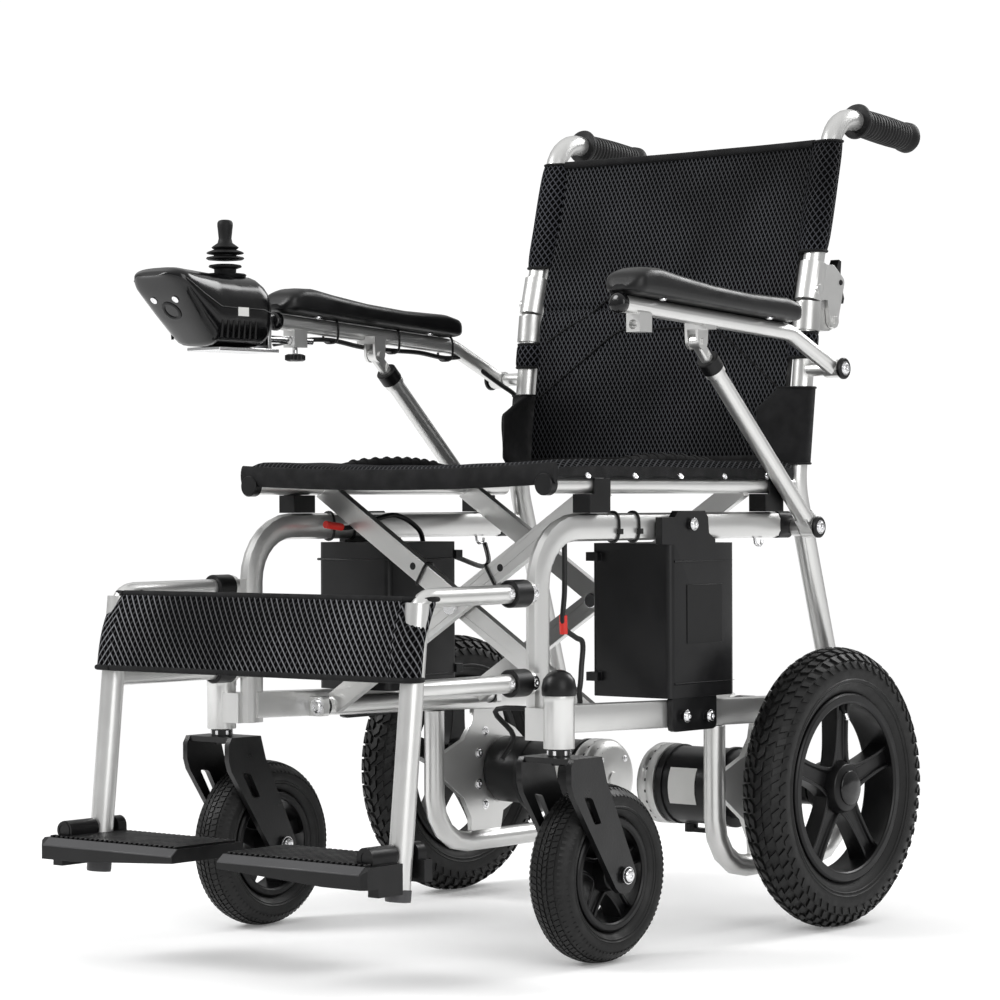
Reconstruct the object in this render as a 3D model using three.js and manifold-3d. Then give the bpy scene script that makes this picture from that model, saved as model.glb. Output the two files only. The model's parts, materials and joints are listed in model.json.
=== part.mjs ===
// Folding power wheelchair: cross-braced aluminium frame, two geared motors, two side batteries.
// Millimetres. +X is the occupant's left, -Y is the way the chair faces, +Z is up.
// Y = 0 is the front upright in the working frame; the finished group is centred on its box.
import * as THREE from 'three';
import { mergeVertices } from 'three/addons/utils/BufferGeometryUtils.js';
import Module from 'manifold-3d';

const wasm = await Module();
wasm.setup();

// ---------- driving dimensions ----------
const GAP = 0.3; // clearance between neighbouring pieces

// side frame: flat-oval tube, front upright bent into the top tube
const FRAME_X = 208.4;
const OVAL_WIDTH = 16;
const OVAL_HEIGHT = 30;
const UPRIGHT_Y = 2;
const UPRIGHT_BOTTOM = 238;
const TOP_TUBE_Z = 460;
const TOP_TUBE_REAR = 442;
const PLUG_REAR = 480;
const FRAME_BEND = 62;
const BEAM_FRONT_Z = 258;
const BEAM_REAR_Z = 244;
const BEAM_REAR_Y = 548;
const BEAM_WIDTH = 20;
const KNUCKLE_HEIGHTS = [392, 299];

// caster
const CASTER_X = 245.1;
const STEM_Y = -9;
const CASTER_AXLE_Y = 55.5;
const CASTER_RADIUS = 95.1;
const CASTER_SEGMENTS = 28;
const CASTER_HALF_WIDTH = 26.8;
const CASTER_RIM_RADIUS = 61;
const FORK_INNER = 29.6;
const FORK_OUTER = 36.6;
const HOUSING_BOTTOM = 230.4;
const HOUSING_TOP = 278.4;
const HOUSING_RADIUS = 16.5;
const STEM_RADIUS = 8;

// rear wheel
const WHEEL_X = 284.9;
const AXLE_Y = 446.9;
const WHEEL_RADIUS = 160;
const WHEEL_SEGMENTS = 32;
const WHEEL_HALF_WIDTH = 26;
const WHEEL_RIM_RADIUS = 108.3;
const SHAFT_RADIUS = 10;

// rear post and motor cradle, one bent round tube
const POST_RADIUS = 12.5;
const CRADLE_FRONT_Y = 320;
const CRADLE_BOTTOM_Z = 71;
const SEAT_KINK = [484, 506];
const POST_TOP = [511.6, 721.6];
const STRUT_FOOT = [470, 457];
const ARM_PIVOT = [500, 641];

// folding back
const BACK_PIVOT = [548, 701];
const BRACKET_BOTTOM = 687;
const BRACKET_SPLIT = 721.6;
const LEVER_PIVOT = [562, 746];
const CANE_CORNER = [569.4, 947];
const GRIP_START = 615;
const GRIP_END = 735;
const GRIP_SLOPE = 5;

// armrest
const ARM_X = 252;
const ARM_TUBE_RADIUS = 9.5;
const ARM_FRONT = [90, 698.5];
const ARM_BEND = [407, 680];
const STRUT_X = 238;
const STRUT_TOP = [247, 664];
const STRUT_RADIUS = 10;
const STRUT_BORE = 8.9;
const STRUT_LENGTH = 262;
const ROD_RADIUS = 4.8;
const ROD_LENGTH = 200;
const PAD_HALF_WIDTH = 26;
const SOCKET_Y = [112, 134];
const SOCKET_Z = [669, 690];

// cross brace and seat rails
const PIVOT_X = 187;
const PIVOT_Z = 252;
const RAIL_X = 214.5;
const RAIL_Z = 506;
const RAIL_RADIUS = 10;
const RAIL_FRONT = 4;
const RAIL_REAR = 462;
const BAR_DEPTH = 10;
const BAR_WIDTH = 25;
const FRONT_BARS = [108, 122];
const REAR_BARS = [366, 380];
const BOLT_RADIUS = 5;
const CROSS_Z = PIVOT_Z + ((RAIL_Z - PIVOT_Z) * PIVOT_X) / (PIVOT_X + RAIL_X);

// leg rests
const HANGER_X = 214.7;
const HANGER_TUBE = 10;
const DOWNTUBE_RADIUS = 12.5;
const DOWNTUBE_TOP = [-198.4, 386];
const DOWNTUBE_BOTTOM = [-229.4, 94];
const PLATE_INNER = 32;
const PLATE_OUTER = 233;
const PLATE_FRONT = -300;
const PLATE_REAR = -198;
const LUG_FRONT = -279;
const NOTCH_Y = [-242.8, -210.2];
const PLATE_TOP = 131;
const PLATE_BOTTOM = 109;
const PLATE_TAPER = 8; // how much higher the underside is at the inner end
const FLIP_Z = 138;

// side batteries: one case, fitted on the right turned half a turn about a vertical line
const CASE_X = [118, 228];
const CASE_Y = [211, 333];
const CASE_Z = [270, 441];
const CASE_TURN_Y = 234;

// soft goods
const SEAT_HALF_WIDTH = 222;
const BACK_HALF_WIDTH = 189;
const STRAP_HALF_WIDTH = 228;

// controller on the right armrest
const CONTROL_X = -254;
const CONTROL_HALF_WIDTH = 42;
const STICK_Y = 8;
const STICK_Z = 752;

// ---------- materials ----------
function paint(colour, roughness, metalness) {
  return new THREE.MeshStandardMaterial({ color: colour, roughness, metalness });
}
const silver = paint(0xc9cbcc, 0.38, 0.85);
const blackPlastic = paint(0x1b1c1e, 0.5, 0.05);
const rubber = paint(0x151515, 0.85, 0);
const cloth = paint(0x17181b, 0.9, 0);
const darkCase = paint(0x26272a, 0.55, 0.05);

// ---------- solids ----------
function solid(geometry) {
  const bare = geometry.clone();
  bare.deleteAttribute('normal');
  bare.deleteAttribute('uv');
  const merged = mergeVertices(bare, 1e-4);
  const mesh = new wasm.Mesh({
    numProp: 3,
    vertProperties: new Float32Array(merged.attributes.position.array),
    triVerts: new Uint32Array(merged.index.array),
  });
  return new wasm.Manifold(mesh);
}

function surface(body) {
  const mesh = body.getMesh();
  const geometry = new THREE.BufferGeometry();
  geometry.setAttribute('position', new THREE.BufferAttribute(mesh.vertProperties, 3));
  geometry.setIndex(new THREE.BufferAttribute(mesh.triVerts, 1));
  geometry.computeVertexNormals();
  return geometry;
}

function join(...bodies) {
  return bodies.reduce((whole, body) => whole.add(body));
}

function box(x, y, z) {
  const geometry = new THREE.BoxGeometry(x[1] - x[0], y[1] - y[0], z[1] - z[0]);
  geometry.translate((x[0] + x[1]) / 2, (y[0] + y[1]) / 2, (z[0] + z[1]) / 2);
  return solid(geometry);
}

// cylinder along X, Y or Z: a and b are its ends on that axis, p and q the other two coordinates in order
function rod(axis, a, b, p, q, radius, segments = 16) {
  const geometry = new THREE.CylinderGeometry(radius, radius, b - a, segments);
  if (axis === 'x') {
    geometry.rotateZ(-Math.PI / 2);
    geometry.translate((a + b) / 2, p, q);
  } else if (axis === 'y') {
    geometry.translate(p, (a + b) / 2, q);
  } else {
    geometry.rotateX(Math.PI / 2);
    geometry.translate(p, q, (a + b) / 2);
  }
  return solid(geometry);
}

// solid of revolution about an axis parallel to X; profile is [radius, x] pairs
function turnedX(profile, y, z, segments, closed = false) {
  const points = profile.map(([r, x]) => new THREE.Vector2(r, x));
  if (closed) points.push(points[0].clone());
  const geometry = new THREE.LatheGeometry(points, segments);
  geometry.rotateZ(-Math.PI / 2);
  geometry.translate(0, y, z);
  return solid(geometry);
}

// solid of revolution about an axis parallel to Z; profile is [radius, z] pairs from bottom to top
function turnedZ(profile, x, y, segments) {
  const points = profile.map(([r, z]) => new THREE.Vector2(r, z));
  const geometry = new THREE.LatheGeometry(points, segments);
  geometry.rotateX(Math.PI / 2);
  geometry.translate(x, y, 0);
  return solid(geometry);
}

function outline(points) {
  return new THREE.Shape(points.map(([a, b]) => new THREE.Vector2(a, b)));
}

// a (y, z) outline given thickness along X, with an optional rounded edge
function plateX(points, x, edge = 0) {
  const settings = { depth: x[1] - x[0] - 2 * edge, bevelEnabled: edge > 0, steps: 1 };
  Object.assign(settings, { bevelThickness: edge, bevelSize: edge, bevelOffset: -edge, bevelSegments: 3 });
  const geometry = new THREE.ExtrudeGeometry(outline(points), settings);
  geometry.translate(0, 0, x[0] + edge);
  const frame = new THREE.Matrix4().makeBasis(
    new THREE.Vector3(0, 1, 0),
    new THREE.Vector3(0, 0, 1),
    new THREE.Vector3(1, 0, 0),
  );
  return solid(geometry.applyMatrix4(frame));
}

// an (x, z) outline given thickness along Y
function plateY(points, y) {
  const geometry = new THREE.ExtrudeGeometry(outline(points), { depth: y[1] - y[0], bevelEnabled: false });
  const frame = new THREE.Matrix4().makeBasis(
    new THREE.Vector3(1, 0, 0),
    new THREE.Vector3(0, 0, 1),
    new THREE.Vector3(0, -1, 0),
  );
  geometry.applyMatrix4(frame);
  geometry.translate(0, y[1], 0);
  return solid(geometry);
}

// an (x, y) outline given thickness along Z
function plateZ(points, z) {
  const geometry = new THREE.ExtrudeGeometry(outline(points), { depth: z[1] - z[0], bevelEnabled: false });
  geometry.translate(0, 0, z[0]);
  return solid(geometry);
}

function arc(centre, radius, from, to, steps) {
  const points = [];
  for (let i = 0; i <= steps; i++) {
    const angle = THREE.MathUtils.degToRad(from + ((to - from) * i) / steps);
    points.push([centre[0] + radius * Math.cos(angle), centre[1] + radius * Math.sin(angle)]);
  }
  return points;
}

// rounds every corner of a closed outline
function rounded(points, radius, steps = 3) {
  const out = [];
  points.forEach((corner, i) => {
    const before = new THREE.Vector2(...points[(i + points.length - 1) % points.length]);
    const after = new THREE.Vector2(...points[(i + 1) % points.length]);
    const here = new THREE.Vector2(...corner);
    const start = here.clone().add(before.sub(here).setLength(radius));
    const end = here.clone().add(after.sub(here).setLength(radius));
    const curve = new THREE.QuadraticBezierCurve(start, here, end);
    curve.getPoints(steps).forEach((p) => out.push([p.x, p.y]));
  });
  return out;
}

// stations along a (y, z) path whose inner corners are filleted
function stations(path, radii, bendSteps) {
  const points = path.map(([y, z]) => new THREE.Vector2(y, z));
  const out = [{ at: points[0], along: points[1].clone().sub(points[0]).normalize() }];
  for (let i = 1; i < points.length - 1; i++) {
    const arriving = points[i].clone().sub(points[i - 1]).normalize();
    const leaving = points[i + 1].clone().sub(points[i]).normalize();
    const turn = Math.atan2(arriving.cross(leaving), arriving.dot(leaving));
    const radius = radii[i - 1];
    const tangent = radius * Math.tan(Math.abs(turn) / 2);
    const start = points[i].clone().addScaledVector(arriving, -tangent);
    const side = new THREE.Vector2(-arriving.y, arriving.x).multiplyScalar(Math.sign(turn));
    const centre = start.clone().addScaledVector(side, radius);
    for (let k = 0; k <= bendSteps; k++) {
      const angle = (turn * k) / bendSteps;
      const at = start.clone().rotateAround(centre, angle);
      out.push({ at, along: arriving.clone().rotateAround(new THREE.Vector2(), angle) });
    }
  }
  const last = points.length - 1;
  out.push({ at: points[last], along: points[last].clone().sub(points[last - 1]).normalize() });
  return out;
}

// sweeps a convex section (x offset, in-plane offset) along a path lying in the plane x
function tube(section, path, radii, x, bendSteps = 5) {
  const rings = stations(path, radii, bendSteps);
  const count = section.length;
  const vertices = [];
  rings.forEach(({ at, along }) => {
    section.forEach(([across, up]) => {
      vertices.push(x + across, at.x - along.y * up, at.y + along.x * up);
    });
  });
  const faces = [];
  for (let r = 0; r + 1 < rings.length; r++) {
    for (let i = 0; i < count; i++) {
      const a = r * count + i;
      const b = r * count + ((i + 1) % count);
      faces.push(a, a + count, b, b, a + count, b + count);
    }
  }
  const end = (rings.length - 1) * count;
  for (let i = 1; i + 1 < count; i++) {
    faces.push(0, i, i + 1);
    faces.push(end, end + i + 1, end + i);
  }
  const geometry = new THREE.BufferGeometry();
  geometry.setAttribute('position', new THREE.BufferAttribute(new Float32Array(vertices), 3));
  geometry.setIndex(faces);
  return solid(geometry);
}

function circle(radius, segments = 14) {
  return arc([0, 0], radius, 0, 360 - 360 / segments, segments - 1);
}

function flatOval(width, height, steps = 4) {
  const straight = (height - width) / 2;
  return [
    ...arc([0, straight], width / 2, 0, 180, steps),
    ...arc([0, -straight], width / 2, 180, 360, steps),
  ];
}

function between(a, b, share) {
  return [a[0] + (b[0] - a[0]) * share, a[1] + (b[1] - a[1]) * share];
}

function toward(from, to, distance) {
  return between(from, to, distance / Math.hypot(to[0] - from[0], to[1] - from[1]));
}

// ---------- pieces of one side, built for the left (+X) ----------
function beamHeight(y) {
  return BEAM_FRONT_Z + ((BEAM_REAR_Z - BEAM_FRONT_Z) * (y - UPRIGHT_Y)) / (BEAM_REAR_Y - UPRIGHT_Y);
}

function sideFrame() {
  const mainPath = [[UPRIGHT_Y, UPRIGHT_BOTTOM], [UPRIGHT_Y, TOP_TUBE_Z], [TOP_TUBE_REAR, TOP_TUBE_Z]];
  const main = tube(flatOval(OVAL_WIDTH, OVAL_HEIGHT), mainPath, [FRAME_BEND], FRAME_X, 7);
  const plug = tube(
    flatOval(OVAL_WIDTH - 2, OVAL_HEIGHT - 4),
    [[TOP_TUBE_REAR - 10, TOP_TUBE_Z], [PLUG_REAR, TOP_TUBE_Z]], [], FRAME_X);
  const half = BEAM_WIDTH / 2;
  const beamSection = rounded([[half, 15], [-half, 15], [-half, -15], [half, -15]], 3, 2);
  const beam = tube(beamSection, [[UPRIGHT_Y, BEAM_FRONT_Z], [BEAM_REAR_Y, BEAM_REAR_Z]], [], FRAME_X);
  const housing = turnedZ(
    [[0, HOUSING_BOTTOM], [HOUSING_RADIUS, HOUSING_BOTTOM], [HOUSING_RADIUS, HOUSING_TOP],
      [HOUSING_RADIUS + 0.5, HOUSING_TOP + 1], [HOUSING_RADIUS + 0.5, HOUSING_TOP + 8],
      [HOUSING_RADIUS - 3, HOUSING_TOP + 20], [7, HOUSING_TOP + 26], [0, HOUSING_TOP + 28]],
    CASTER_X, STEM_Y, 18);
  const bridge = box([FRAME_X, CASTER_X - 8], [STEM_Y - 11, STEM_Y + 11], [238, 272]);
  const knuckles = KNUCKLE_HEIGHTS.map((z) =>
    box([FRAME_X - 5, FRAME_X + 11], [-21.7, -8], [z - 9, z + 9]));
  const lugX = [PIVOT_X - 10, FRAME_X - 5];
  const lugOutline = rounded([[lugX[0], 241], [lugX[1], 241], [lugX[1], 263], [lugX[0], 263]], 4);
  const lugs = [[88, 98], [402, 412]].map((y) => plateY(lugOutline, y));
  const stemBore = rod('z', HOUSING_BOTTOM - 1, 262, CASTER_X, STEM_Y, STEM_RADIUS + GAP, 16);
  return join(main, plug, beam, housing, bridge, ...knuckles, ...lugs).subtract(stemBore);
}

function rearPost() {
  const path = [
    [CRADLE_FRONT_Y, 234.2], [CRADLE_FRONT_Y, CRADLE_BOTTOM_Z], [580, CRADLE_BOTTOM_Z],
    [569, 240], SEAT_KINK, POST_TOP,
  ];
  const post = tube(circle(POST_RADIUS), path, [58, 58, 90, 90], FRAME_X, 4);
  const star = plateX([
    [392, 232.4], [446, 231], [452, 214], ...arc([AXLE_Y, WHEEL_RADIUS], 52, 62, -62, 6),
    [448, 104], [442, 76], [388, 76], [386, 100], [372, 124], [334, 150], [324, 154],
    [324, 178], [336, 182], [372, 196], [388, 216],
  ], [FRAME_X - 3, FRAME_X + 4]);
  const shaftHole = rod('x', 180, 240, AXLE_Y, WHEEL_RADIUS, 23, 18);
  const foot = plateX([
    ...arc(STRUT_FOOT, 10.5, 70, 290, 8), [STRUT_FOOT[0] + 34, 444], [STRUT_FOOT[0] + 28, 472],
  ], [FRAME_X + 7.6, STRUT_X - STRUT_RADIUS - 1]);
  const footPin = rod('x', FRAME_X + 9, STRUT_X + 9.4, STRUT_FOOT[0], STRUT_FOOT[1], 4.5, 16);
  const footHead = rod('x', STRUT_X + 9.2, STRUT_X + 14, STRUT_FOOT[0], STRUT_FOOT[1], 9, 16);
  const armSpacer = rod('x', FRAME_X, ARM_X - ARM_TUBE_RADIUS - 0.8, ARM_PIVOT[0], ARM_PIVOT[1], 8, 16);
  const armPin = rod('x', FRAME_X, ARM_X + 10.6, ARM_PIVOT[0], ARM_PIVOT[1], 5, 16);
  const armHead = rod('x', ARM_X + 10.4, ARM_X + 15, ARM_PIVOT[0], ARM_PIVOT[1], 8.5, 16);
  const plate = star.subtract(shaftHole);
  return join(post, plate, foot, footPin, footHead, armSpacer, armPin, armHead);
}

function motor() {
  const motorZ = 152;
  const can = turnedX(
    [[0, 33], [38, 33], [45, 37], [47, 44], [47, 62], [45.5, 62.5], [45.5, 150], [0, 150]],
    AXLE_Y, motorZ, 22);
  const flange = FRAME_X - 3 - GAP;
  const gearbox = turnedX([[0, 149], [40, 149], [41, 153], [41, 201], [38, flange], [0, flange]],
    AXLE_Y, WHEEL_RADIUS - 4, 20);
  const boss = rod('x', 200, WHEEL_X - 25, AXLE_Y, WHEEL_RADIUS, 22, 18);
  const shaft = rod('x', 200, WHEEL_X + 21, AXLE_Y, WHEEL_RADIUS, SHAFT_RADIUS, 16);
  return join(can, gearbox, boss, shaft);
}

function clutchLever() {
  const hub = rod('z', 96, 106, 84, AXLE_Y, 8, 14);
  const arm = box([84, 116], [AXLE_Y - 5, AXLE_Y + 5], [96, 101]);
  const knob = rod('z', 92, 101, 116, AXLE_Y, 7, 14);
  return join(hub, arm, knob);
}

function battery() {
  const [inner, outer] = CASE_X;
  const [front, rear] = CASE_Y;
  const [floor, lid] = CASE_Z;
  const plan = rounded([[inner, front], [outer, front], [outer, rear], [inner, rear]], 8, 3);
  const body = plateZ(plan, CASE_Z);
  const topTab = plateX([
    [196, lid - 1], [296, lid - 1], [296, 445], [284, 452], [282, 470], [276, 477], [226, 477],
    [220, 470], [196, 470],
  ], [FRAME_X + 10.4, outer]);
  const bottomTab = plateX(
    rounded([[216, 233], [300, 233], [300, 275], [216, 275]], 7, 2), [FRAME_X + 10.4, 226]);
  const bolts = [[250, 462], [236, 250], [280, 248]].map(([y, z]) => rod('x', 220, 232, y, z, 6, 6));
  const frontLugs = [floor + 22, lid - 15].map((z) =>
    box([inner - 2, inner + 14], [front - 8, front + 4], [z - 5, z + 5]));
  return join(body, topTab, bottomTab, ...bolts, ...frontLugs);
}

function saddle(front, rear) {
  const top = RAIL_Z - RAIL_RADIUS;
  const base = TOP_TUBE_Z + OVAL_HEIGHT / 2 + GAP;
  const outer = FRAME_X + 19;
  const block = box([FRAME_X - 5, outer], [front, rear], [base, top - GAP]);
  const lip = box([RAIL_X + RAIL_RADIUS + 0.6, outer], [front + 8, rear], [top - 2, RAIL_Z + 7]);
  return join(block, lip);
}

function backBracket() {
  const tall = BRACKET_SPLIT - BRACKET_BOTTOM;
  const ring = turnedZ([[0, 0], [16, 0], [16, tall], [0, tall]], 0, 0, 20);
  const postDirection = Math.atan2(POST_TOP[0] - SEAT_KINK[0], POST_TOP[1] - SEAT_KINK[1]);
  const foot = toward(SEAT_KINK, POST_TOP, (BRACKET_BOTTOM - SEAT_KINK[1]) / Math.cos(postDirection));
  const lean = THREE.MathUtils.radToDeg(postDirection);
  const sleeve = ring.rotate([-lean, 0, 0]).translate([FRAME_X, foot[0], foot[1]]);
  const ear = plateX([
    [512, 688], [545, 688], ...arc(BACK_PIVOT, 11, -70, 110, 6), [512, 719],
  ], [FRAME_X - 7, FRAME_X + 7]);
  const sweep = [SEAT_KINK, POST_TOP, toward(SEAT_KINK, POST_TOP, 260)];
  const core = tube(circle(POST_RADIUS + GAP), sweep, [500], FRAME_X, 2);
  const topTrim = box([FRAME_X - 40, FRAME_X + 40], [460, 600], [BRACKET_SPLIT - GAP, 760]);
  const pinHole = rod('x', FRAME_X - 20, FRAME_X + 20, BACK_PIVOT[0], BACK_PIVOT[1], 4.8, 16);
  return join(sleeve, ear).subtract(core).subtract(topTrim).subtract(pinHole);
}

function backCane() {
  const slope = THREE.MathUtils.degToRad(GRIP_SLOPE);
  const end = [GRIP_START - GAP, CANE_CORNER[1] - Math.tan(slope) * (GRIP_START - GAP - CANE_CORNER[0])];
  const start = [512, BRACKET_SPLIT + 1];
  const cane = tube(circle(POST_RADIUS), [start, CANE_CORNER, end], [45], FRAME_X, 7);
  const sleeveTop = toward(start, CANE_CORNER, 46);
  const sleeve = tube(circle(16), [start, sleeveTop], [], FRAME_X);
  const cheeks = [[-13, -7.5], [7.5, 13]].map((x) => plateX([
    [510, 724], [534, 724], [BACK_PIVOT[0] - 10, 704], ...arc(BACK_PIVOT, 10, 200, 380, 5),
    ...arc(LEVER_PIVOT, 8, -30, 60, 3), [548, 766], [520, 766],
  ], [FRAME_X + x[0], FRAME_X + x[1]]));
  const leverBore = rod('x', FRAME_X - 20, FRAME_X + 20, ...LEVER_PIVOT, 3.4, 12);
  const web = plateX([
    [516, 726], [546, 726], [554, 732], [545, 762], [520, 762],
  ], [FRAME_X - 8, FRAME_X + 8]);
  const pin = rod('x', FRAME_X - 16, FRAME_X + 16, BACK_PIVOT[0], BACK_PIVOT[1], 4.5, 16);
  const lock = rod('x', FRAME_X, FRAME_X + 16.8, 512, 736, 5.5, 12);
  const floor = box([FRAME_X - 40, FRAME_X + 40], [480, 534], [690, BRACKET_SPLIT + GAP]);
  return join(cane, sleeve, ...cheeks, web, pin, lock).subtract(floor).subtract(leverBore);
}

function backLever() {
  const [y, z] = LEVER_PIVOT;
  const handle = plateX([
    ...arc([y, z], 6, 180, 300, 4), [y + 12, z - 20], [y + 16, z - 24], [y + 18, z - 18],
    [y + 10, z + 6], [y + 12, z + 26], [y + 7, z + 28], [y, z + 14], [y - 4, z + 5],
  ], [FRAME_X - 6, FRAME_X + 6]);
  return join(handle, rod('x', FRAME_X - 14, FRAME_X + 14, y, z, 3, 12));
}

function grip() {
  const drop = Math.tan(THREE.MathUtils.degToRad(GRIP_SLOPE));
  const height = (y) => CANE_CORNER[1] - drop * (y - CANE_CORNER[0]);
  const part = (radius, from, to) =>
    tube(circle(radius, 14), [[from, height(from)], [to, height(to)]], [], FRAME_X);
  const flange = part(21, GRIP_START, GRIP_START + 7);
  const handle = part(16.5, GRIP_START + 3, GRIP_END);
  const end = part(18.5, GRIP_END - 14, GRIP_END);
  return join(flange, handle, end);
}

function armTubeHeight(y) {
  return ARM_FRONT[1] + ((ARM_BEND[1] - ARM_FRONT[1]) * (y - ARM_FRONT[0])) / (ARM_BEND[0] - ARM_FRONT[0]);
}

function armrest() {
  const bar = tube(circle(ARM_TUBE_RADIUS), [ARM_FRONT, ARM_BEND, ARM_PIVOT], [40], ARM_X, 5);
  const eye = rod('x', ARM_X - ARM_TUBE_RADIUS, ARM_X + ARM_TUBE_RADIUS, ...ARM_PIVOT, 10.5, 16);
  const capStart = toward(ARM_FRONT, ARM_BEND, -7);
  const cap = tube(circle(ARM_TUBE_RADIUS + 0.6), [capStart, toward(ARM_FRONT, ARM_BEND, 2)], [], ARM_X);
  const [pinY, pinZ] = STRUT_TOP;
  const saddleZ = [pinZ + 13, armTubeHeight(pinY) - 3];
  const saddleBlock = box([STRUT_X - 9, ARM_X + 6], [pinY - 10, pinY + 10], saddleZ);
  const cheeks = [[-9, -5.6], [5.6, 9]].map((x) =>
    plateX([...arc([pinY, pinZ], 9, 180, 360, 6), [pinY + 10, pinZ + 16], [pinY - 10, pinZ + 16]],
      [STRUT_X + x[0], STRUT_X + x[1]]));
  const pin = rod('x', STRUT_X - 11, STRUT_X + 11, pinY, pinZ, 4, 14);
  const socket = box([ARM_X - 9, ARM_X + 9], SOCKET_Y, SOCKET_Z);
  const socketBore = rod('y', SOCKET_Y[0] - 1, SOCKET_Y[1] + 1, ARM_X, 677, 5.4, 16);
  const pivotBore = rod('x', ARM_X - 12, ARM_X + 12, ARM_PIVOT[0], ARM_PIVOT[1], 5.3, 16);
  return join(bar, eye, cap, saddleBlock, ...cheeks, pin, socket).subtract(socketBore).subtract(pivotBore);
}

function armPad() {
  const seat = (y) => armTubeHeight(y) + ARM_TUBE_RADIUS + 0.5;
  return plateX([
    [88, seat(88)], [404, seat(404)], [408, seat(404) + 6], [405, 706], [396, 714], [374, 718.5],
    [300, 720], [229, 725.5], [170, 733], [135, 738.5], [112, 738], [96, 732], [87, 720],
  ], [ARM_X - PAD_HALF_WIDTH, ARM_X + PAD_HALF_WIDTH], 4);
}

function strutTube() {
  const up = (distance) => toward(STRUT_FOOT, STRUT_TOP, distance);
  const length = (section, from, to) => tube(section, [up(from), up(to)], [], STRUT_X);
  const outer = length(circle(STRUT_RADIUS), 14, STRUT_LENGTH);
  const eye = rod('x', STRUT_X - 9, STRUT_X + 8.8, ...STRUT_FOOT, 10, 20);
  const neck = length([[8, 9], [-8, 9], [-8, -9], [8, -9]], 0, 20);
  const collar = length(circle(11.8), STRUT_LENGTH - 8, STRUT_LENGTH + 5);
  const bore = length(circle(STRUT_BORE), 30, STRUT_LENGTH + 8);
  const pinHole = rod('x', STRUT_X - 12, STRUT_X + 12, ...STRUT_FOOT, 4.8, 16);
  return join(outer, eye, neck, collar).subtract(bore).subtract(pinHole);
}

function strutRod() {
  const half = 5.2; // half thickness of the flattened eye
  const down = (distance) => toward(STRUT_TOP, STRUT_FOOT, distance);
  const eye = rod('x', STRUT_X - half, STRUT_X + half, ...STRUT_TOP, 8, 18);
  const thick = tube(circle(7, 14), [STRUT_TOP, down(34)], [], STRUT_X);
  const [y, z] = STRUT_TOP;
  const flats = [[-20, -half], [half, 20]].map((x) =>
    box([STRUT_X + x[0], STRUT_X + x[1]], [y - 47, y + 15], [z - 24, z + 36]));
  const trimmed = flats.reduce((whole, flat) => whole.subtract(flat), thick);
  const thin = tube(circle(ROD_RADIUS, 14), [down(4), down(ROD_LENGTH)], [], STRUT_X);
  const pinHole = rod('x', STRUT_X - 12, STRUT_X + 12, ...STRUT_TOP, 4.3, 14);
  return join(eye, trimmed, thin).subtract(pinHole);
}

function casterFork() {
  const at = [CASTER_AXLE_Y, CASTER_RADIUS];
  const legOutline = [
    [-30, 222], [17, 222], [25, 196], [74, 100], ...arc(at, 20, 0, -140, 6), [-31, 184], [-35, 196],
    [-35, 214],
  ];
  const slot = rounded([[-14, 182], [0, 180], [16, 152], [4, 152]], 3, 2);
  const legs = [[-FORK_OUTER, -FORK_INNER], [FORK_INNER, FORK_OUTER]].map((x) => {
    const leg = plateX(legOutline, [CASTER_X + x[0], CASTER_X + x[1]]);
    return leg.subtract(plateX(slot, [CASTER_X + x[0] - 1, CASTER_X + x[1] + 1]));
  });
  const crown = box([CASTER_X - FORK_OUTER, CASTER_X + FORK_OUTER], [-30, 17], [216, 222]);
  const stem = rod('z', 213, 258, CASTER_X, STEM_Y, STEM_RADIUS, 16);
  const seat = rod('z', 221, HOUSING_BOTTOM - 1, CASTER_X, STEM_Y, 12, 16);
  const axle = rod('x', CASTER_X - 41, CASTER_X + 41, ...at, 5, 16);
  const heads = [[-42, -36], [36, 42]].map((x) =>
    rod('x', CASTER_X + x[0], CASTER_X + x[1], ...at, 8.5, 14));
  return join(crown, ...legs, stem, seat, axle, ...heads);
}

function spokes(x, y, z, count, inner, outer, width, half, turn) {
  return Array.from({ length: count }, (_, i) => {
    const bar = box([x - half, x + half], [inner, outer], [-width / 2, width / 2]);
    return bar.rotate([(360 * i) / count + turn, 0, 0]).translate([0, y, z]);
  });
}

function casterRim() {
  const at = [CASTER_AXLE_Y, CASTER_RADIUS];
  const ring = turnedX([
    [47, CASTER_X - 17], [CASTER_RIM_RADIUS, CASTER_X - 17], [CASTER_RIM_RADIUS, CASTER_X + 17],
    [47, CASTER_X + 17],
  ], ...at, CASTER_SEGMENTS, true);
  const hub = turnedX([
    [5.4, CASTER_X - 28], [15, CASTER_X - 28], [18, CASTER_X - 12], [18, CASTER_X + 12],
    [15, CASTER_X + 28], [5.4, CASTER_X + 28],
  ], ...at, 16, true);
  return join(ring, hub, ...spokes(CASTER_X, ...at, 5, 16, 49, 16, 9, 18));
}

function tyre(x, y, z, inner, outer, half, segments) {
  const tread = outer - inner;
  return turnedX([
    [inner, x - half * 0.62], [inner + tread * 0.5, x - half], [outer - tread * 0.16, x - half * 0.84],
    [outer, x - half * 0.42], [outer, x + half * 0.42], [outer - tread * 0.16, x + half * 0.84],
    [inner + tread * 0.5, x + half], [inner, x + half * 0.62],
  ], y, z, segments, true);
}

function casterTyre() {
  const at = [CASTER_X, CASTER_AXLE_Y, CASTER_RADIUS];
  return tyre(...at, CASTER_RIM_RADIUS + GAP, CASTER_RADIUS, CASTER_HALF_WIDTH, CASTER_SEGMENTS);
}

function wheelTyre() {
  const at = [WHEEL_X, AXLE_Y, WHEEL_RADIUS];
  return tyre(...at, WHEEL_RIM_RADIUS + GAP, WHEEL_RADIUS, WHEEL_HALF_WIDTH, WHEEL_SEGMENTS);
}

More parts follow.
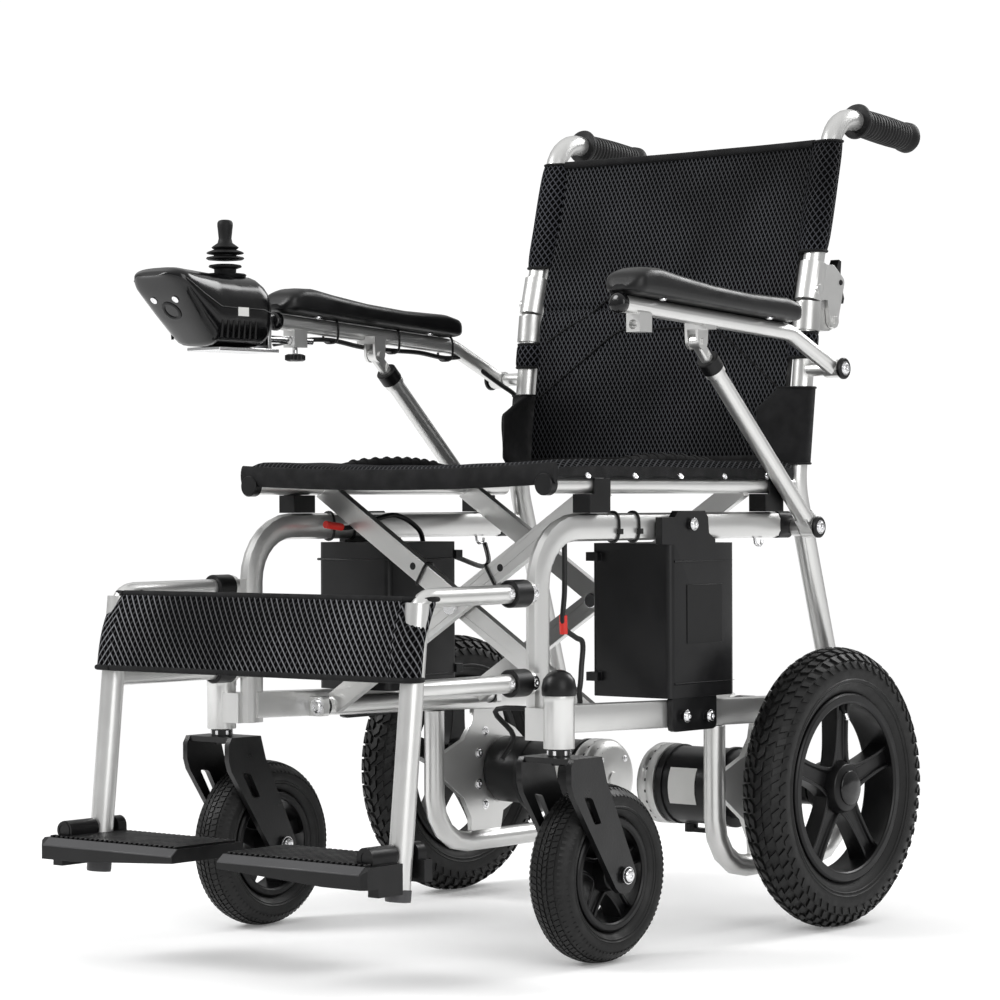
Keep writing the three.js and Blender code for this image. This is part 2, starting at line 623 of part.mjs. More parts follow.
function wheelRim() {
  const at = [AXLE_Y, WHEEL_RADIUS];
  const ring = turnedX([
    [94.5, WHEEL_X - 20], [100, WHEEL_X - 22], [WHEEL_RIM_RADIUS, WHEEL_X - 20],
    [WHEEL_RIM_RADIUS, WHEEL_X + 20], [100, WHEEL_X + 22], [94.5, WHEEL_X + 20],
  ], ...at, WHEEL_SEGMENTS, true);
  const hub = turnedX([
    [SHAFT_RADIUS + GAP, WHEEL_X - 24], [28, WHEEL_X - 24], [30, WHEEL_X - 8], [30, WHEEL_X + 8],
    [23, WHEEL_X + 20], [SHAFT_RADIUS + GAP, WHEEL_X + 20],
  ], ...at, 18, true);
  const cap = rod('x', WHEEL_X + 22, WHEEL_X + 25.5, ...at, 20.5, 16);
  const capSkirt = turnedX([
    [16, WHEEL_X + 18], [20.5, WHEEL_X + 18], [20.5, WHEEL_X + 23], [16, WHEEL_X + 23],
  ], ...at, 16, true);
  return join(ring, hub, cap, capSkirt, ...spokes(WHEEL_X, ...at, 5, 27, 97, 24, 10, 18));
}

function hanger() {
  const upper = tube(circle(HANGER_TUBE, 12), [[-26, 392], [-196, 391], [-200.5, 366]], [22], HANGER_X, 5);
  const lower = tube(circle(HANGER_TUBE, 12), [[-26, 299], [-208, 299]], [], HANGER_X);
  const down = tube(circle(DOWNTUBE_RADIUS), [DOWNTUBE_TOP, DOWNTUBE_BOTTOM], [], HANGER_X);
  const collars = KNUCKLE_HEIGHTS.map((z) => tube(circle(13.5, 12), [[-54, z], [-22, z]], [], HANGER_X));
  const pinHole = rod('y', -250, -200, HANGER_X, FLIP_Z, 5.5, 14);
  return join(upper, lower, down, ...collars).subtract(pinHole);
}

function footplate() {
  const bottom = PLATE_BOTTOM;
  const profile = [
    [PLATE_FRONT, bottom], [PLATE_REAR, bottom], [PLATE_REAR, PLATE_TOP], [PLATE_FRONT + 9, PLATE_TOP],
    [PLATE_FRONT, PLATE_TOP - 7],
  ];
  const wedge = plateY([
    [PLATE_INNER - 1, bottom - 1], [HANGER_X - 20, bottom - 1], [PLATE_INNER - 1, bottom + PLATE_TAPER],
  ], [PLATE_FRONT - 1, PLATE_REAR + 1]);
  const blank = plateX(profile, [PLATE_INNER, PLATE_OUTER]).subtract(wedge);
  const tubeNotch = box([198.5, 240], NOTCH_Y, [90, 160]);
  const cornerCut = plateZ([
    [PLATE_OUTER - 6, PLATE_FRONT - 1], [PLATE_OUTER + 1, PLATE_FRONT - 1],
    [PLATE_OUTER + 1, PLATE_FRONT + 6],
  ], [90, 160]);
  const lug = (radius, y) => plateY([
    [HANGER_X - radius, PLATE_TOP - 2], [HANGER_X + radius, PLATE_TOP - 2],
    ...arc([HANGER_X, FLIP_Z], radius, 0, 180, 10),
  ], y);
  const frontLug = lug(10.5, [LUG_FRONT, NOTCH_Y[0]]);
  const rearLug = lug(10.5, [NOTCH_Y[1], PLATE_REAR]);
  const outerSkirt = box([PLATE_OUTER - 14, PLATE_OUTER], [LUG_FRONT, NOTCH_Y[0]], [100, bottom + 2]);
  const pin = rod('y', NOTCH_Y[0] - 1.2, NOTCH_Y[1] + 1.2, HANGER_X, FLIP_Z, 5, 14);
  const disc = rod('y', NOTCH_Y[0] - 0.7, NOTCH_Y[0] + 3.9, HANGER_X, FLIP_Z, 10.5, 16);
  return join(blank.subtract(tubeNotch).subtract(cornerCut), frontLug, rearLug, outerSkirt, pin, disc);
}

function skirt() {
  return plateX([[398, 536], [478, 536], [490, 610], [474, 616], [430, 560], [398, 548]], [186, 189]);
}

// one half of the cross brace: bottom pivot tube on one side, seat rail on the other
function crossHalf(side, [frontY, rearY]) {
  const foot = [-side * PIVOT_X, PIVOT_Z];
  const rail = [side * RAIL_X, RAIL_Z];
  const length = Math.hypot(rail[0] - foot[0], rail[1] - foot[1]);
  const along = [(rail[0] - foot[0]) / length, (rail[1] - foot[1]) / length];
  const normal = [-along[1], along[0]];
  const corner = (distance, offset) => [
    foot[0] + along[0] * distance + normal[0] * offset, foot[1] + along[1] * distance + normal[1] * offset,
  ];
  const half = BAR_WIDTH / 2;
  const bars = [frontY, rearY].map((y) => {
    const ring = [corner(6, -half), corner(length - 3, -half), corner(length - 3, half), corner(6, half)];
    return plateY(side > 0 ? ring : ring.reverse(), [y, y + BAR_DEPTH]);
  });
  const pivot = rod('y', 98.4, 401.6, foot[0], foot[1], 10, 18);
  const top = rod('y', RAIL_FRONT + 9, RAIL_REAR, rail[0], rail[1], RAIL_RADIUS, 20);
  const cap = rod('y', RAIL_FRONT, RAIL_FRONT + 10, rail[0], rail[1], RAIL_RADIUS + 1, 20);
  const bores = [frontY, rearY].map((y) =>
    rod('y', y - 1, y + BAR_DEPTH + 1, 0, CROSS_Z, BOLT_RADIUS + GAP, 16));
  return bores.reduce((whole, bore) => whole.subtract(bore), join(pivot, top, cap, ...bars));
}

function crossBolt(y) {
  const last = y[1] + BAR_DEPTH;
  const shank = rod('y', y[0] - 4, last + 4, 0, CROSS_Z, BOLT_RADIUS, 16);
  const head = rod('y', y[0] - 6, y[0] - GAP, 0, CROSS_Z, 9, 12);
  const nut = rod('y', last + GAP, last + 7, 0, CROSS_Z, 9, 6);
  return join(shank, head, nut);
}

// ---------- soft pieces ----------
function seatSling() {
  const edge = SEAT_HALF_WIDTH;
  const outlineXY = rounded([[-edge, 12], [edge, 12], [edge, 452], [-edge, 452]], 12, 3);
  return plateZ(outlineXY, [RAIL_Z + RAIL_RADIUS + 1, RAIL_Z + RAIL_RADIUS + 15]);
}

function backPanel(from, to, thickness) {
  const along = new THREE.Vector2(to[0] - from[0], to[1] - from[1]).normalize();
  const half = thickness / 2;
  const corner = (p, sign) => [p[0] + along.y * half * sign, p[1] - along.x * half * sign];
  return plateX([corner(from, -1), corner(from, 1), corner(to, 1), corner(to, -1)],
    [-BACK_HALF_WIDTH, BACK_HALF_WIDTH]);
}

function calfStrap() {
  const bottom = [-225.6, 309];
  const top = [-216.6, 391];
  return plateX([bottom, [bottom[0] + 3.5, bottom[1]], [top[0] + 3.5, top[1]], top],
    [-STRAP_HALF_WIDTH, STRAP_HALF_WIDTH]);
}

// ---------- controller ----------
function controller() {
  const body = plateX([
    [-112, 741], [-108, 749], [-100, 752], [-60, 750], [-8, 747], [28, 747], [44, 738], [57, 714],
    [52, 690], [45, 665], [-40, 665], [-66, 690],
  ].reverse(), [CONTROL_X - CONTROL_HALF_WIDTH, CONTROL_X + CONTROL_HALF_WIDTH], 7);
  const cup = turnedZ([[0, 735], [14.5, 735], [14.5, 760], [0, 760]], CONTROL_X, STICK_Y, 24);
  return body.subtract(cup);
}

function controllerBracket() {
  const shelf = box([-CONTROL_X - 26, -CONTROL_X + 26], [-28, 70], [660.5, 664.6]);
  const upright = plateY(
    [[ARM_X - 12, 661], [ARM_X + 12, 661], ...arc([ARM_X, 697], 12, 0, 180, 8)], [64, 70]);
  const bar = rod('y', 66, 150, ARM_X, 677, 5);
  return join(shelf, upright, bar);
}

function stickGimbal() {
  return turnedZ([
    [0, STICK_Z - 13], [7, STICK_Z - 11], [11.5, STICK_Z - 6], [13, STICK_Z], [12, STICK_Z + 4],
    [19, STICK_Z + 5], [19, STICK_Z + 7.5], [12, STICK_Z + 8.5], [0, STICK_Z + 8.5],
  ], CONTROL_X, STICK_Y, 18);
}

function stick() {
  return turnedZ([
    [0, STICK_Z + 12], [10, STICK_Z + 12.5], [21.5, STICK_Z + 14], [22.5, STICK_Z + 16], [13, STICK_Z + 18],
    [12, STICK_Z + 19], [22, STICK_Z + 20], [22, STICK_Z + 21.5], [13, STICK_Z + 27], [8.5, STICK_Z + 32],
    [7.5, STICK_Z + 40], [9, STICK_Z + 54], [8.4, STICK_Z + 59], [0, STICK_Z + 59.5],
  ], CONTROL_X, STICK_Y, 18);
}

// ---------- assembly ----------
function mirrored(geometry) {
  const copy = geometry.clone();
  copy.scale(-1, 1, 1);
  const index = copy.index;
  for (let i = 0; i < index.count; i += 3) {
    const second = index.getX(i + 1);
    index.setX(i + 1, index.getX(i + 2));
    index.setX(i + 2, second);
  }
  copy.computeVertexNormals();
  return copy;
}

function piece(name, geometry, material) {
  const mesh = new THREE.Mesh(geometry, material);
  mesh.name = name;
  return mesh;
}

const sidePieces = [
  ['side_frame', sideFrame(), silver],
  ['rear_post', rearPost(), silver],
  ['motor', motor(), blackPlastic],
  ['clutch_lever', clutchLever(), blackPlastic],
  ['saddle_front', saddle(68, 104), blackPlastic],
  ['saddle_rear', saddle(396, 432), blackPlastic],
  ['back_bracket', backBracket(), silver],
  ['back_cane', backCane(), silver],
  ['back_lever', backLever(), blackPlastic],
  ['grip', grip(), rubber],
  ['armrest', armrest(), silver],
  ['arm_pad', armPad(), rubber],
  ['strut_tube', strutTube(), silver],
  ['strut_rod', strutRod(), silver],
  ['caster_fork', casterFork(), blackPlastic],
  ['caster_rim', casterRim(), blackPlastic],
  ['caster_tyre', casterTyre(), rubber],
  ['wheel_rim', wheelRim(), blackPlastic],
  ['wheel_tyre', wheelTyre(), rubber],
  ['hanger', hanger(), silver],
  ['footplate', footplate(), blackPlastic],
  ['skirt', skirt(), cloth],
];

const leftSide = new THREE.Group();
leftSide.name = 'left_side';
const rightSide = new THREE.Group();
rightSide.name = 'right_side';
for (const [name, body, material] of sidePieces) {
  const geometry = surface(body);
  leftSide.add(piece(`${name}_left`, geometry, material));
  rightSide.add(piece(`${name}_right`, mirrored(geometry), material));
}

const leftCase = surface(battery());
const rightCase = leftCase.clone();
rightCase.rotateZ(Math.PI);
rightCase.translate(0, 2 * CASE_TURN_Y, 0);
leftSide.add(piece('battery_left', leftCase, darkCase));
rightSide.add(piece('battery_right', rightCase, darkCase));

const seatFrame = new THREE.Group();
seatFrame.name = 'seat_frame';
seatFrame.add(
  piece('cross_half_left_rail', surface(crossHalf(1, [FRONT_BARS[0], REAR_BARS[0]])), silver),
  piece('cross_half_right_rail', surface(crossHalf(-1, [FRONT_BARS[1], REAR_BARS[1]])), silver),
  piece('cross_bolt_front', surface(crossBolt(FRONT_BARS)), silver),
  piece('cross_bolt_rear', surface(crossBolt(REAR_BARS)), silver),
);

const softGoods = new THREE.Group();
softGoods.name = 'soft_goods';
softGoods.add(
  piece('seat_sling', surface(seatSling()), cloth),
  piece('back_panel_lower', surface(backPanel([488, 538], [510.5, 714], 10)), cloth),
  piece('back_panel_upper', surface(backPanel([514, 730], [561, 912], 10)), cloth),
  piece('calf_strap', surface(calfStrap()), cloth),
);

const control = new THREE.Group();
control.name = 'control';
control.add(
  piece('controller', surface(controller()), blackPlastic),
  piece('controller_bracket', mirrored(surface(controllerBracket())), silver),
  piece('stick_gimbal', surface(stickGimbal()), rubber),
  piece('stick', surface(stick()), rubber),
);

const wheelchair = new THREE.Group();
wheelchair.name = 'power_wheelchair';
wheelchair.add(leftSide, rightSide, seatFrame, softGoods, control);
const outerBox = new THREE.Box3().setFromObject(wheelchair, true);
wheelchair.position.y = -(outerBox.min.y + outerBox.max.y) / 2;

export default wheelchair;
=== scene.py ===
import math

import bmesh
import bpy
import numpy as np
from mathutils import Matrix, Vector
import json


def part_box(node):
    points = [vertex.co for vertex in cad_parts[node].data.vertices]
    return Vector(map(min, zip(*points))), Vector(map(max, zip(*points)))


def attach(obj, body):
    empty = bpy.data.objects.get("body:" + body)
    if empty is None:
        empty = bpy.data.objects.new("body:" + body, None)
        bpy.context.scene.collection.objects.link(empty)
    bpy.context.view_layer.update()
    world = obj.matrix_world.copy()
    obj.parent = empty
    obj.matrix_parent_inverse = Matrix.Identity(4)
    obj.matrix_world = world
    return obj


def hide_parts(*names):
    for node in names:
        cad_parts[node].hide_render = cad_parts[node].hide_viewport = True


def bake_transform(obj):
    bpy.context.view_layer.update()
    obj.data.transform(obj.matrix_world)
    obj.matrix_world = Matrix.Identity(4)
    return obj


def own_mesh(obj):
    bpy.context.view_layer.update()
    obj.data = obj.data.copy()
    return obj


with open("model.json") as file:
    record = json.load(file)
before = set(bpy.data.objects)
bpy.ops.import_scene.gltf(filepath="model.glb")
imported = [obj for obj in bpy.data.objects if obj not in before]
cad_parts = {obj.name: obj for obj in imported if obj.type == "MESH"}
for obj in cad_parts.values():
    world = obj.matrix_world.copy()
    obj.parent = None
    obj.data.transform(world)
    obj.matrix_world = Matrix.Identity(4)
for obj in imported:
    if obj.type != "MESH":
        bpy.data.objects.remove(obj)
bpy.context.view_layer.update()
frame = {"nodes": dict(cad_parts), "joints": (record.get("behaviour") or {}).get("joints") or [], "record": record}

MM = 0.001
SIDES = (("left", 1), ("right", -1))
X, Y, Z = Vector((1, 0, 0)), Vector((0, 1, 0)), Vector((0, 0, 1))
JOINTS = {joint["name"]: joint for joint in frame["joints"]}


# ---------- materials ----------
class Paint:
    """Builds one procedural material around a Principled shader."""

    def __init__(self, name):
        self.material = bpy.data.materials.new(name)
        self.material.use_nodes = True
        self.tree = self.material.node_tree
        self.shader = self.tree.nodes["Principled BSDF"]
        coordinates = self.tree.nodes.new("ShaderNodeTexCoord")
        self.place = coordinates.outputs["Object"]

    def node(self, kind, **settings):
        made = self.tree.nodes.new(kind)
        for name, value in settings.items():
            setattr(made, name, value)
        return made

    def math(self, operation, a, b=None):
        made = self.node("ShaderNodeMath", operation=operation)
        for socket, value in zip(made.inputs, (a, b)):
            self.feed(socket, value)
        return made.outputs[0]

    def vector(self, operation, a, b=None):
        made = self.node("ShaderNodeVectorMath", operation=operation)
        for socket, value in zip(made.inputs, (a, b)):
            self.feed(socket, value)
        return made.outputs["Value" if operation == "LENGTH" else "Vector"]

    def feed(self, socket, value):
        if value is None:
            return
        if isinstance(value, bpy.types.NodeSocket):
            self.tree.links.new(value, socket)
        else:
            socket.default_value = value

    def noise(self, scale, detail=3, place=None):
        made = self.node("ShaderNodeTexNoise")
        made.inputs["Scale"].default_value = scale
        made.inputs["Detail"].default_value = detail
        self.feed(made.inputs["Vector"], place or self.place)
        return made.outputs[0]

    def remap(self, value, low, high, to_low, to_high, smooth=False):
        made = self.node("ShaderNodeMapRange", interpolation_type="SMOOTHSTEP" if smooth else "LINEAR")
        for name, item in zip(
            ("Value", "From Min", "From Max", "To Min", "To Max"), (value, low, high, to_low, to_high)
        ):
            self.feed(made.inputs[name], item)
        return made.outputs[0]

    def mix(self, share, a, b):
        made = self.node("ShaderNodeMix", data_type="RGBA")
        self.feed(made.inputs["Factor"], share)
        self.feed(made.inputs[6], (*a, 1) if isinstance(a, tuple) else a)
        self.feed(made.inputs[7], (*b, 1) if isinstance(b, tuple) else b)
        return made.outputs[2]

    def bump(self, height, strength, distance):
        made = self.node("ShaderNodeBump")
        made.inputs["Strength"].default_value = strength
        made.inputs["Distance"].default_value = distance
        self.feed(made.inputs["Height"], height)
        self.feed(self.shader.inputs["Normal"], made.outputs[0])

    def set(self, **values):
        for name, value in values.items():
            self.feed(self.shader.inputs[name.replace("_", " ")], value)


def tinted(colour, share):
    return tuple(min(1, c * share) for c in colour)


def hard(name, colour, roughness, metal=0.0, grain=500, depth=0.1, tone=0.12, smudge=0.07,
         coat=0.0, shine=0.5):
    """A hard surface: broad tone change, smudged roughness and a fine grain that catches light."""
    paint = Paint(name)
    broad = paint.noise(11, 5)
    fine = paint.noise(grain, 2)
    smear = paint.noise(46, 6)
    share = paint.remap(broad, 0.3, 0.7, 0, 1)
    colours = paint.mix(share, tinted(colour, 1 - tone), tinted(colour, 1 + tone))
    paint.set(Base_Color=colours, Metallic=metal, Specular_IOR_Level=shine)
    paint.set(Coat_Weight=coat, Coat_Roughness=0.12)
    paint.set(Roughness=paint.remap(smear, 0.3, 0.7, roughness - smudge, roughness + smudge))
    paint.bump(fine, depth, 0.0004)
    return paint.material


def dusty(name, colour, dust, roughness):
    """Moulded rubber with a pale film of dust that gathers in patches."""
    paint = Paint(name)
    patches = paint.remap(paint.noise(26, 6), 0.46, 0.75, 0, 0.55, True)
    paint.set(Base_Color=paint.mix(patches, colour, dust), Specular_IOR_Level=0.35)
    paint.set(Roughness=paint.remap(paint.noise(90, 4), 0.3, 0.7, roughness - 0.08, roughness + 0.08))
    paint.bump(paint.noise(800, 3), 0.25, 0.0005)
    return paint.material


def net_cloth(name, thread, ground, pitch, lean=1.5, width=0.2, faint=1.0, depth=0.001):
    """Knitted net: two slanting families of thin threads over a dark ground, in the cloth's own metres."""
    paint = Paint(name)
    uv = paint.node("ShaderNodeUVMap", uv_map="cloth").outputs[0]
    split = paint.node("ShaderNodeSeparateXYZ")
    paint.feed(split.inputs[0], uv)
    across = paint.math("DIVIDE", split.outputs[0], pitch)
    up = paint.math("DIVIDE", split.outputs[1], pitch * lean)
    families = []
    for operation, strength in (("ADD", 1.0), ("SUBTRACT", faint)):
        phase = paint.math("FRACT", paint.math(operation, across, up))
        off = paint.math("ABSOLUTE", paint.math("SUBTRACT", phase, 0.5))
        families.append(paint.remap(off, width * 0.25, width, strength, 0, True))
    raised = paint.math("MAXIMUM", *families)
    fibre = paint.noise(1400, 2)
    shade = paint.remap(paint.noise(6, 3), 0.35, 0.65, 0.35, 1.3)
    fibres = paint.remap(fibre, 0.2, 0.8, 0.6, 1.1)
    lit = paint.math("MULTIPLY", raised, paint.math("MULTIPLY", shade, fibres))
    paint.set(Base_Color=paint.mix(lit, ground, thread), Roughness=paint.remap(raised, 0, 1, 0.9, 0.6))
    paint.set(Specular_IOR_Level=paint.remap(raised, 0, 1, 0.03, 0.25))
    paint.bump(paint.math("ADD", raised, paint.math("MULTIPLY", fibre, 0.25)), 0.6, depth)
    return paint.material


def plain_cloth(name, colour, pitch=0.0011):
    """Tightly woven tape or nylon: fine over-and-under ribs."""
    paint = Paint(name)
    uv = paint.node("ShaderNodeUVMap", uv_map="cloth").outputs[0]
    turned_uv = paint.vector("MULTIPLY", uv, (2 * math.pi / pitch, 2 * math.pi / pitch, 0))
    split = paint.node("ShaderNodeSeparateXYZ")
    paint.feed(split.inputs[0], turned_uv)
    ribs = paint.math("MULTIPLY", *(paint.math("SINE", split.outputs[i]) for i in (0, 1)))
    broad = paint.remap(paint.noise(24, 4), 0.3, 0.7, 0, 1)
    paint.set(Base_Color=paint.mix(broad, tinted(colour, 0.75), tinted(colour, 1.35)))
    paint.set(Roughness=paint.remap(paint.noise(60, 3), 0.3, 0.7, 0.62, 0.85), Specular_IOR_Level=0.25)
    paint.bump(ribs, 0.4, 0.0004)
    return paint.material


BLACK = (0.0028, 0.0028, 0.0031)
SILVER = hard("silver paint", (0.68, 0.68, 0.67), 0.32, 0.85, 300, 0.012, 0.04, 0.02)
BRIGHT = hard("bright zinc", (0.8, 0.8, 0.81), 0.19, 1.0, 900, 0.03, 0.08, 0.05)
CAST = hard("cast alloy", (0.55, 0.55, 0.54), 0.36, 0.9, 600, 0.1, 0.08, 0.06)
PLASTIC = hard("black plastic", BLACK, 0.36, 0.0, 700, 0.12, 0.2, 0.07, 0.0, 0.3)
GLOSS = hard("gloss black plastic", BLACK, 0.17, 0.0, 260, 0.03, 0.15, 0.05, 0.15, 0.35)
POWDER = hard("black powder coat", BLACK, 0.34, 0.0, 420, 0.3, 0.15, 0.07, 0.1, 0.4)
CASE = hard("battery case", (0.004, 0.004, 0.0045), 0.34, 0.0, 500, 0.14, 0.2, 0.06, 0.0, 0.35)
RUBBER = hard("soft rubber", BLACK, 0.58, 0.0, 600, 0.3, 0.25, 0.1, 0.0, 0.3)
PAD = hard("self-skinned foam", (0.003, 0.003, 0.0033), 0.36, 0.0, 330, 0.16, 0.2, 0.07, 0.0, 0.35)
CABLE = hard("cable jacket", BLACK, 0.4, 0.0, 500, 0.15, 0.2, 0.08, 0.0, 0.35)
LABEL = hard("blank label", (0.72, 0.72, 0.7), 0.4, 0.0, 700, 0.05, 0.05, 0.06)
TAG = hard("red tag", (0.6, 0.02, 0.012), 0.45, 0.0, 500, 0.1, 0.1, 0.06)
# pale grey: on the footplates' front bevel it is a painted highlight for the light that sloped facet catches; the
# tube foot plugs use the same grey
GREY_AND_PAINTED_SHEEN = hard("grey edge strip with painted sheen", (0.035, 0.035, 0.037), 0.45, 0.0, 350, 0.3, 0.15, 0.08)
TYRE = dusty("tyre rubber", (0.003, 0.003, 0.003), (0.009, 0.009, 0.0085), 0.52)
NET_BLACK = (0.0012, 0.0012, 0.0014)
BACK_MESH = net_cloth("back mesh", (0.045, 0.047, 0.053), NET_BLACK, 0.0062, 1.7, 0.2, 0.75)
SEAT_MESH = net_cloth("seat mesh", (0.045, 0.047, 0.053), NET_BLACK, 0.0062, 1.7, 0.2, 0.75)
SLEEVE_MESH = net_cloth("sleeve mesh", (0.045, 0.047, 0.056), NET_BLACK, 0.0078, 1.3, 0.18, 1.0, 0.0016)
STRAP_MESH = net_cloth("strap mesh", (0.2, 0.203, 0.215), NET_BLACK, 0.0078, 1.35, 0.17, 0.22, 0.0016)
TAPE = plain_cloth("binding tape", (0.004, 0.004, 0.0045))
NYLON = plain_cloth("smooth nylon", (0.0035, 0.0035, 0.004), 0.0016)

PAINT_OF_SLOT = {
    "silver": SILVER,
    "steel": BRIGHT,
    "black_plastic": PLASTIC,
    "black_case": CASE,
    "black_metal": POWDER,
    "rubber": RUBBER,
    "pad": PAD,
    "tyre": TYRE,
    "cloth": NYLON,
}


# ---------- geometry ----------
class Shape:
    """The faces of one piece, gathered before they become a Blender object."""

    def __init__(self):
        self.points = []
        self.faces = []
        self.slots = []
        self.uv = []
        self.paints = []

    def add(self, points, faces, paint, uv=None):
        if paint not in self.paints:
            self.paints.append(paint)
        start = len(self.points)
        self.points += [tuple(point) for point in points]
        for number, face in enumerate(faces):
            self.faces.append([start + i for i in face])
            self.slots.append(self.paints.index(paint))
            self.uv += uv[number] if uv else [(0.0, 0.0)] * len(face)
        return self

    def skin(self, rows, paint, wrap=False, caps=True, loop=False):
        """Quads between rows of points. wrap closes each row, loop joins the last row to the first."""
        rows = [[Vector(point) for point in row] for row in rows]
        count = len(rows[0])
        across = running(rows[len(rows) // 2] + ([rows[len(rows) // 2][0]] if wrap else []))
        along = running([row[count // 2] for row in rows] + ([rows[0][count // 2]] if loop else []))
        faces, uv = [], []
        for i in range(len(rows) - (0 if loop else 1)):
            after = (i + 1) % len(rows)
            for j in range(count - (0 if wrap else 1)):
                beside = (j + 1) % count
                faces.append([i * count + j, i * count + beside, after * count + beside, after * count + j])
                four = ((j, i), (j + 1, i), (j + 1, i + 1), (j, i + 1))
                uv.append([(across[p], along[q]) for p, q in four])
        if caps and wrap and not loop:
            last = (len(rows) - 1) * count
            faces += [list(range(count))[::-1], [last + j for j in range(count)]]
            uv += [[(across[j], along[0]) for j in range(count)]] * 2
        return self.add([point for row in rows for point in row], faces, paint, uv)

    def block(self, low, high, paint):
        corners = [(x, y, z) for z in (low[2], high[2]) for y in (low[1], high[1]) for x in (low[0], high[0])]
        faces = [(0, 2, 3, 1), (4, 5, 7, 6), (0, 1, 5, 4), (2, 6, 7, 3), (0, 4, 6, 2), (1, 3, 7, 5)]
        return self.add(corners, faces, paint)

    def lathe(self, profile, origin, axis, paint, segments=48, ring=False):
        """turned(), with the profile in millimetres."""
        metres = [(radius * MM, at * MM) for radius, at in profile]
        return self.turned(metres, origin, axis, paint, segments, ring)

    def turned(self, profile, origin, axis, paint, segments=64, ring=False):
        """A solid of revolution; profile holds (radius, distance along axis) pairs."""
        axis = Vector(axis).normalized()
        side = axis.orthogonal().normalized()
        up = axis.cross(side)
        angles = [2 * math.pi * i / segments for i in range(segments)]
        rows = []
        for radius, distance in profile:
            middle = Vector(origin) + axis * distance
            rows.append([middle + (side * math.cos(a) + up * math.sin(a)) * radius for a in angles])
        return self.skin(rows, paint, wrap=True, loop=ring)

    def tube(self, path, radius, paint, sides=14, flat=1.0):
        """A bar along a path of points; flat squeezes it across the path's first upward direction."""
        path = [Vector(point) for point in path]
        ways = [(b - a).normalized() for a, b in zip(path, path[1:])]
        ways = [ways[0]] + [(a + b).normalized() for a, b in zip(ways, ways[1:])] + [ways[-1]]
        side = ways[0].cross(Z if abs(ways[0].z) < 0.9 else X).normalized()
        rows = []
        for point, way in zip(path, ways):
            side = (side - way * side.dot(way)).normalized()
            up = side.cross(way)
            circle = [2 * math.pi * i / sides for i in range(sides)]
            rows.append([point + (side * math.cos(a) + up * math.sin(a) * flat) * radius for a in circle])
        return self.skin(rows, paint, wrap=True)


def running(points):
    """Distance covered on reaching each point."""
    total = [0.0]
    for a, b in zip(points, points[1:]):
        total.append(total[-1] + (Vector(b) - Vector(a)).length)
    return total


def curve(points, steps=8):
    """A smooth path through the points."""
    points = [Vector(p) for p in points]
    padded = [points[0] * 2 - points[1]] + points + [points[-1] * 2 - points[-2]]
    path = []
    for a, b, c, d in zip(padded, padded[1:], padded[2:], padded[3:]):
        for i in range(steps):
            t = i / steps
            bend = (a * -1 + b * 3 - c * 3 + d) * t**3 + (a * 2 - b * 5 + c * 4 - d) * t**2
            path.append((bend + (c - a) * t + b * 2) / 2)
    return path + [points[-1]]


def piece(name, shape, body, replaces=(), bevel=0.0, angle=35):
    """Makes the object, shades it and sets it on its CAD body."""
    mesh = bpy.data.meshes.new(name)
    mesh.from_pydata(shape.points, [], shape.faces)
    layer = mesh.uv_layers.new(name="cloth")
    layer.data.foreach_set("uv", [value for pair in shape.uv for value in pair])
    for paint in shape.paints:
        mesh.materials.append(paint)
    mesh.polygons.foreach_set("material_index", shape.slots)
    work = bmesh.new()
    work.from_mesh(mesh)
    bmesh.ops.recalc_face_normals(work, faces=work.faces)
    work.to_mesh(mesh)
    work.free()
    mesh.polygons.foreach_set("use_smooth", [True] * len(mesh.polygons))
    mesh.set_sharp_from_angle(angle=math.radians(angle))
    made = bpy.data.objects.new(name, mesh)
    bpy.context.scene.collection.objects.link(made)
    if bevel:
        edge = made.modifiers.new("edge", "BEVEL")
        edge.width = bevel
        edge.segments = 2
        edge.limit_method = "ANGLE"
        edge.angle_limit = math.radians(40)
    if body:
        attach(made, body)
    if replaces:
        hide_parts(*replaces)
    return made


def centre(node):
    low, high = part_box(node)
    return (low + high) / 2


def section(node, axis, at):
    """Lowest and highest corner of the CAD node's cut by the plane where that axis equals at."""
    mesh = frame["nodes"][node].data
    cuts = []
    for edge in mesh.edges:
        a, b = (mesh.vertices[i].co for i in edge.vertices)
        if (a[axis] - at) * (b[axis] - at) < 0:
            cuts.append(a.lerp(b, (at - a[axis]) / (b[axis] - a[axis])))
    cuts = np.array([list(cut) for cut in cuts])
    return Vector(cuts.min(0)), Vector(cuts.max(0))


def cut_centre(node, axis, at):
    low, high = section(node, axis, at)
    return (low + high) / 2


def behind_upright(x, y, z):
    """A point x mm left of the middle, y mm behind the front upright's axis and z mm above the floor."""
    return Vector((x * MM, UPRIGHT_Y + y * MM, z * MM))


def collar(shape, start, way, radius, length, paint, segments=40):
    """A plain ring or plug with eased edges."""
    ease = min(1.2 * MM, length * 0.3)
    profile = [(radius - ease, 0), (radius, ease), (radius, length - ease), (radius - ease, length)]
    return shape.turned(profile, start, way, paint, segments)


def closed_ring(middle, across, up, steps=28, power=1.0):
    """A closed ring of points about middle; power below 1 squares it off."""
    ring = []
    for i in range(steps + 2):
        angle = 2 * math.pi * i / steps
        c, s = (math.copysign(abs(v) ** power, v) for v in (math.cos(angle), math.sin(angle)))
        ring.append(middle + across * c + up * s)
    return ring


def rounded_ring(low, high, y, power=3.4, count=28):
    """A soft-cornered rectangle in the plane at y, between two (x, z) corners."""
    middle = [(a + b) / 2 for a, b in zip(low, high)]
    half = [(b - a) / 2 for a, b in zip(low, high)]
    ring = []
    for i in range(count):
        angle = 2 * math.pi * (i + 0.5) / count
        c, s = math.cos(angle), math.sin(angle)
        x = middle[0] + half[0] * math.copysign(abs(c) ** (2 / power), c)
        z = middle[1] + half[1] * math.copysign(abs(s) ** (2 / power), s)
        ring.append((x, y, z))
    return ring


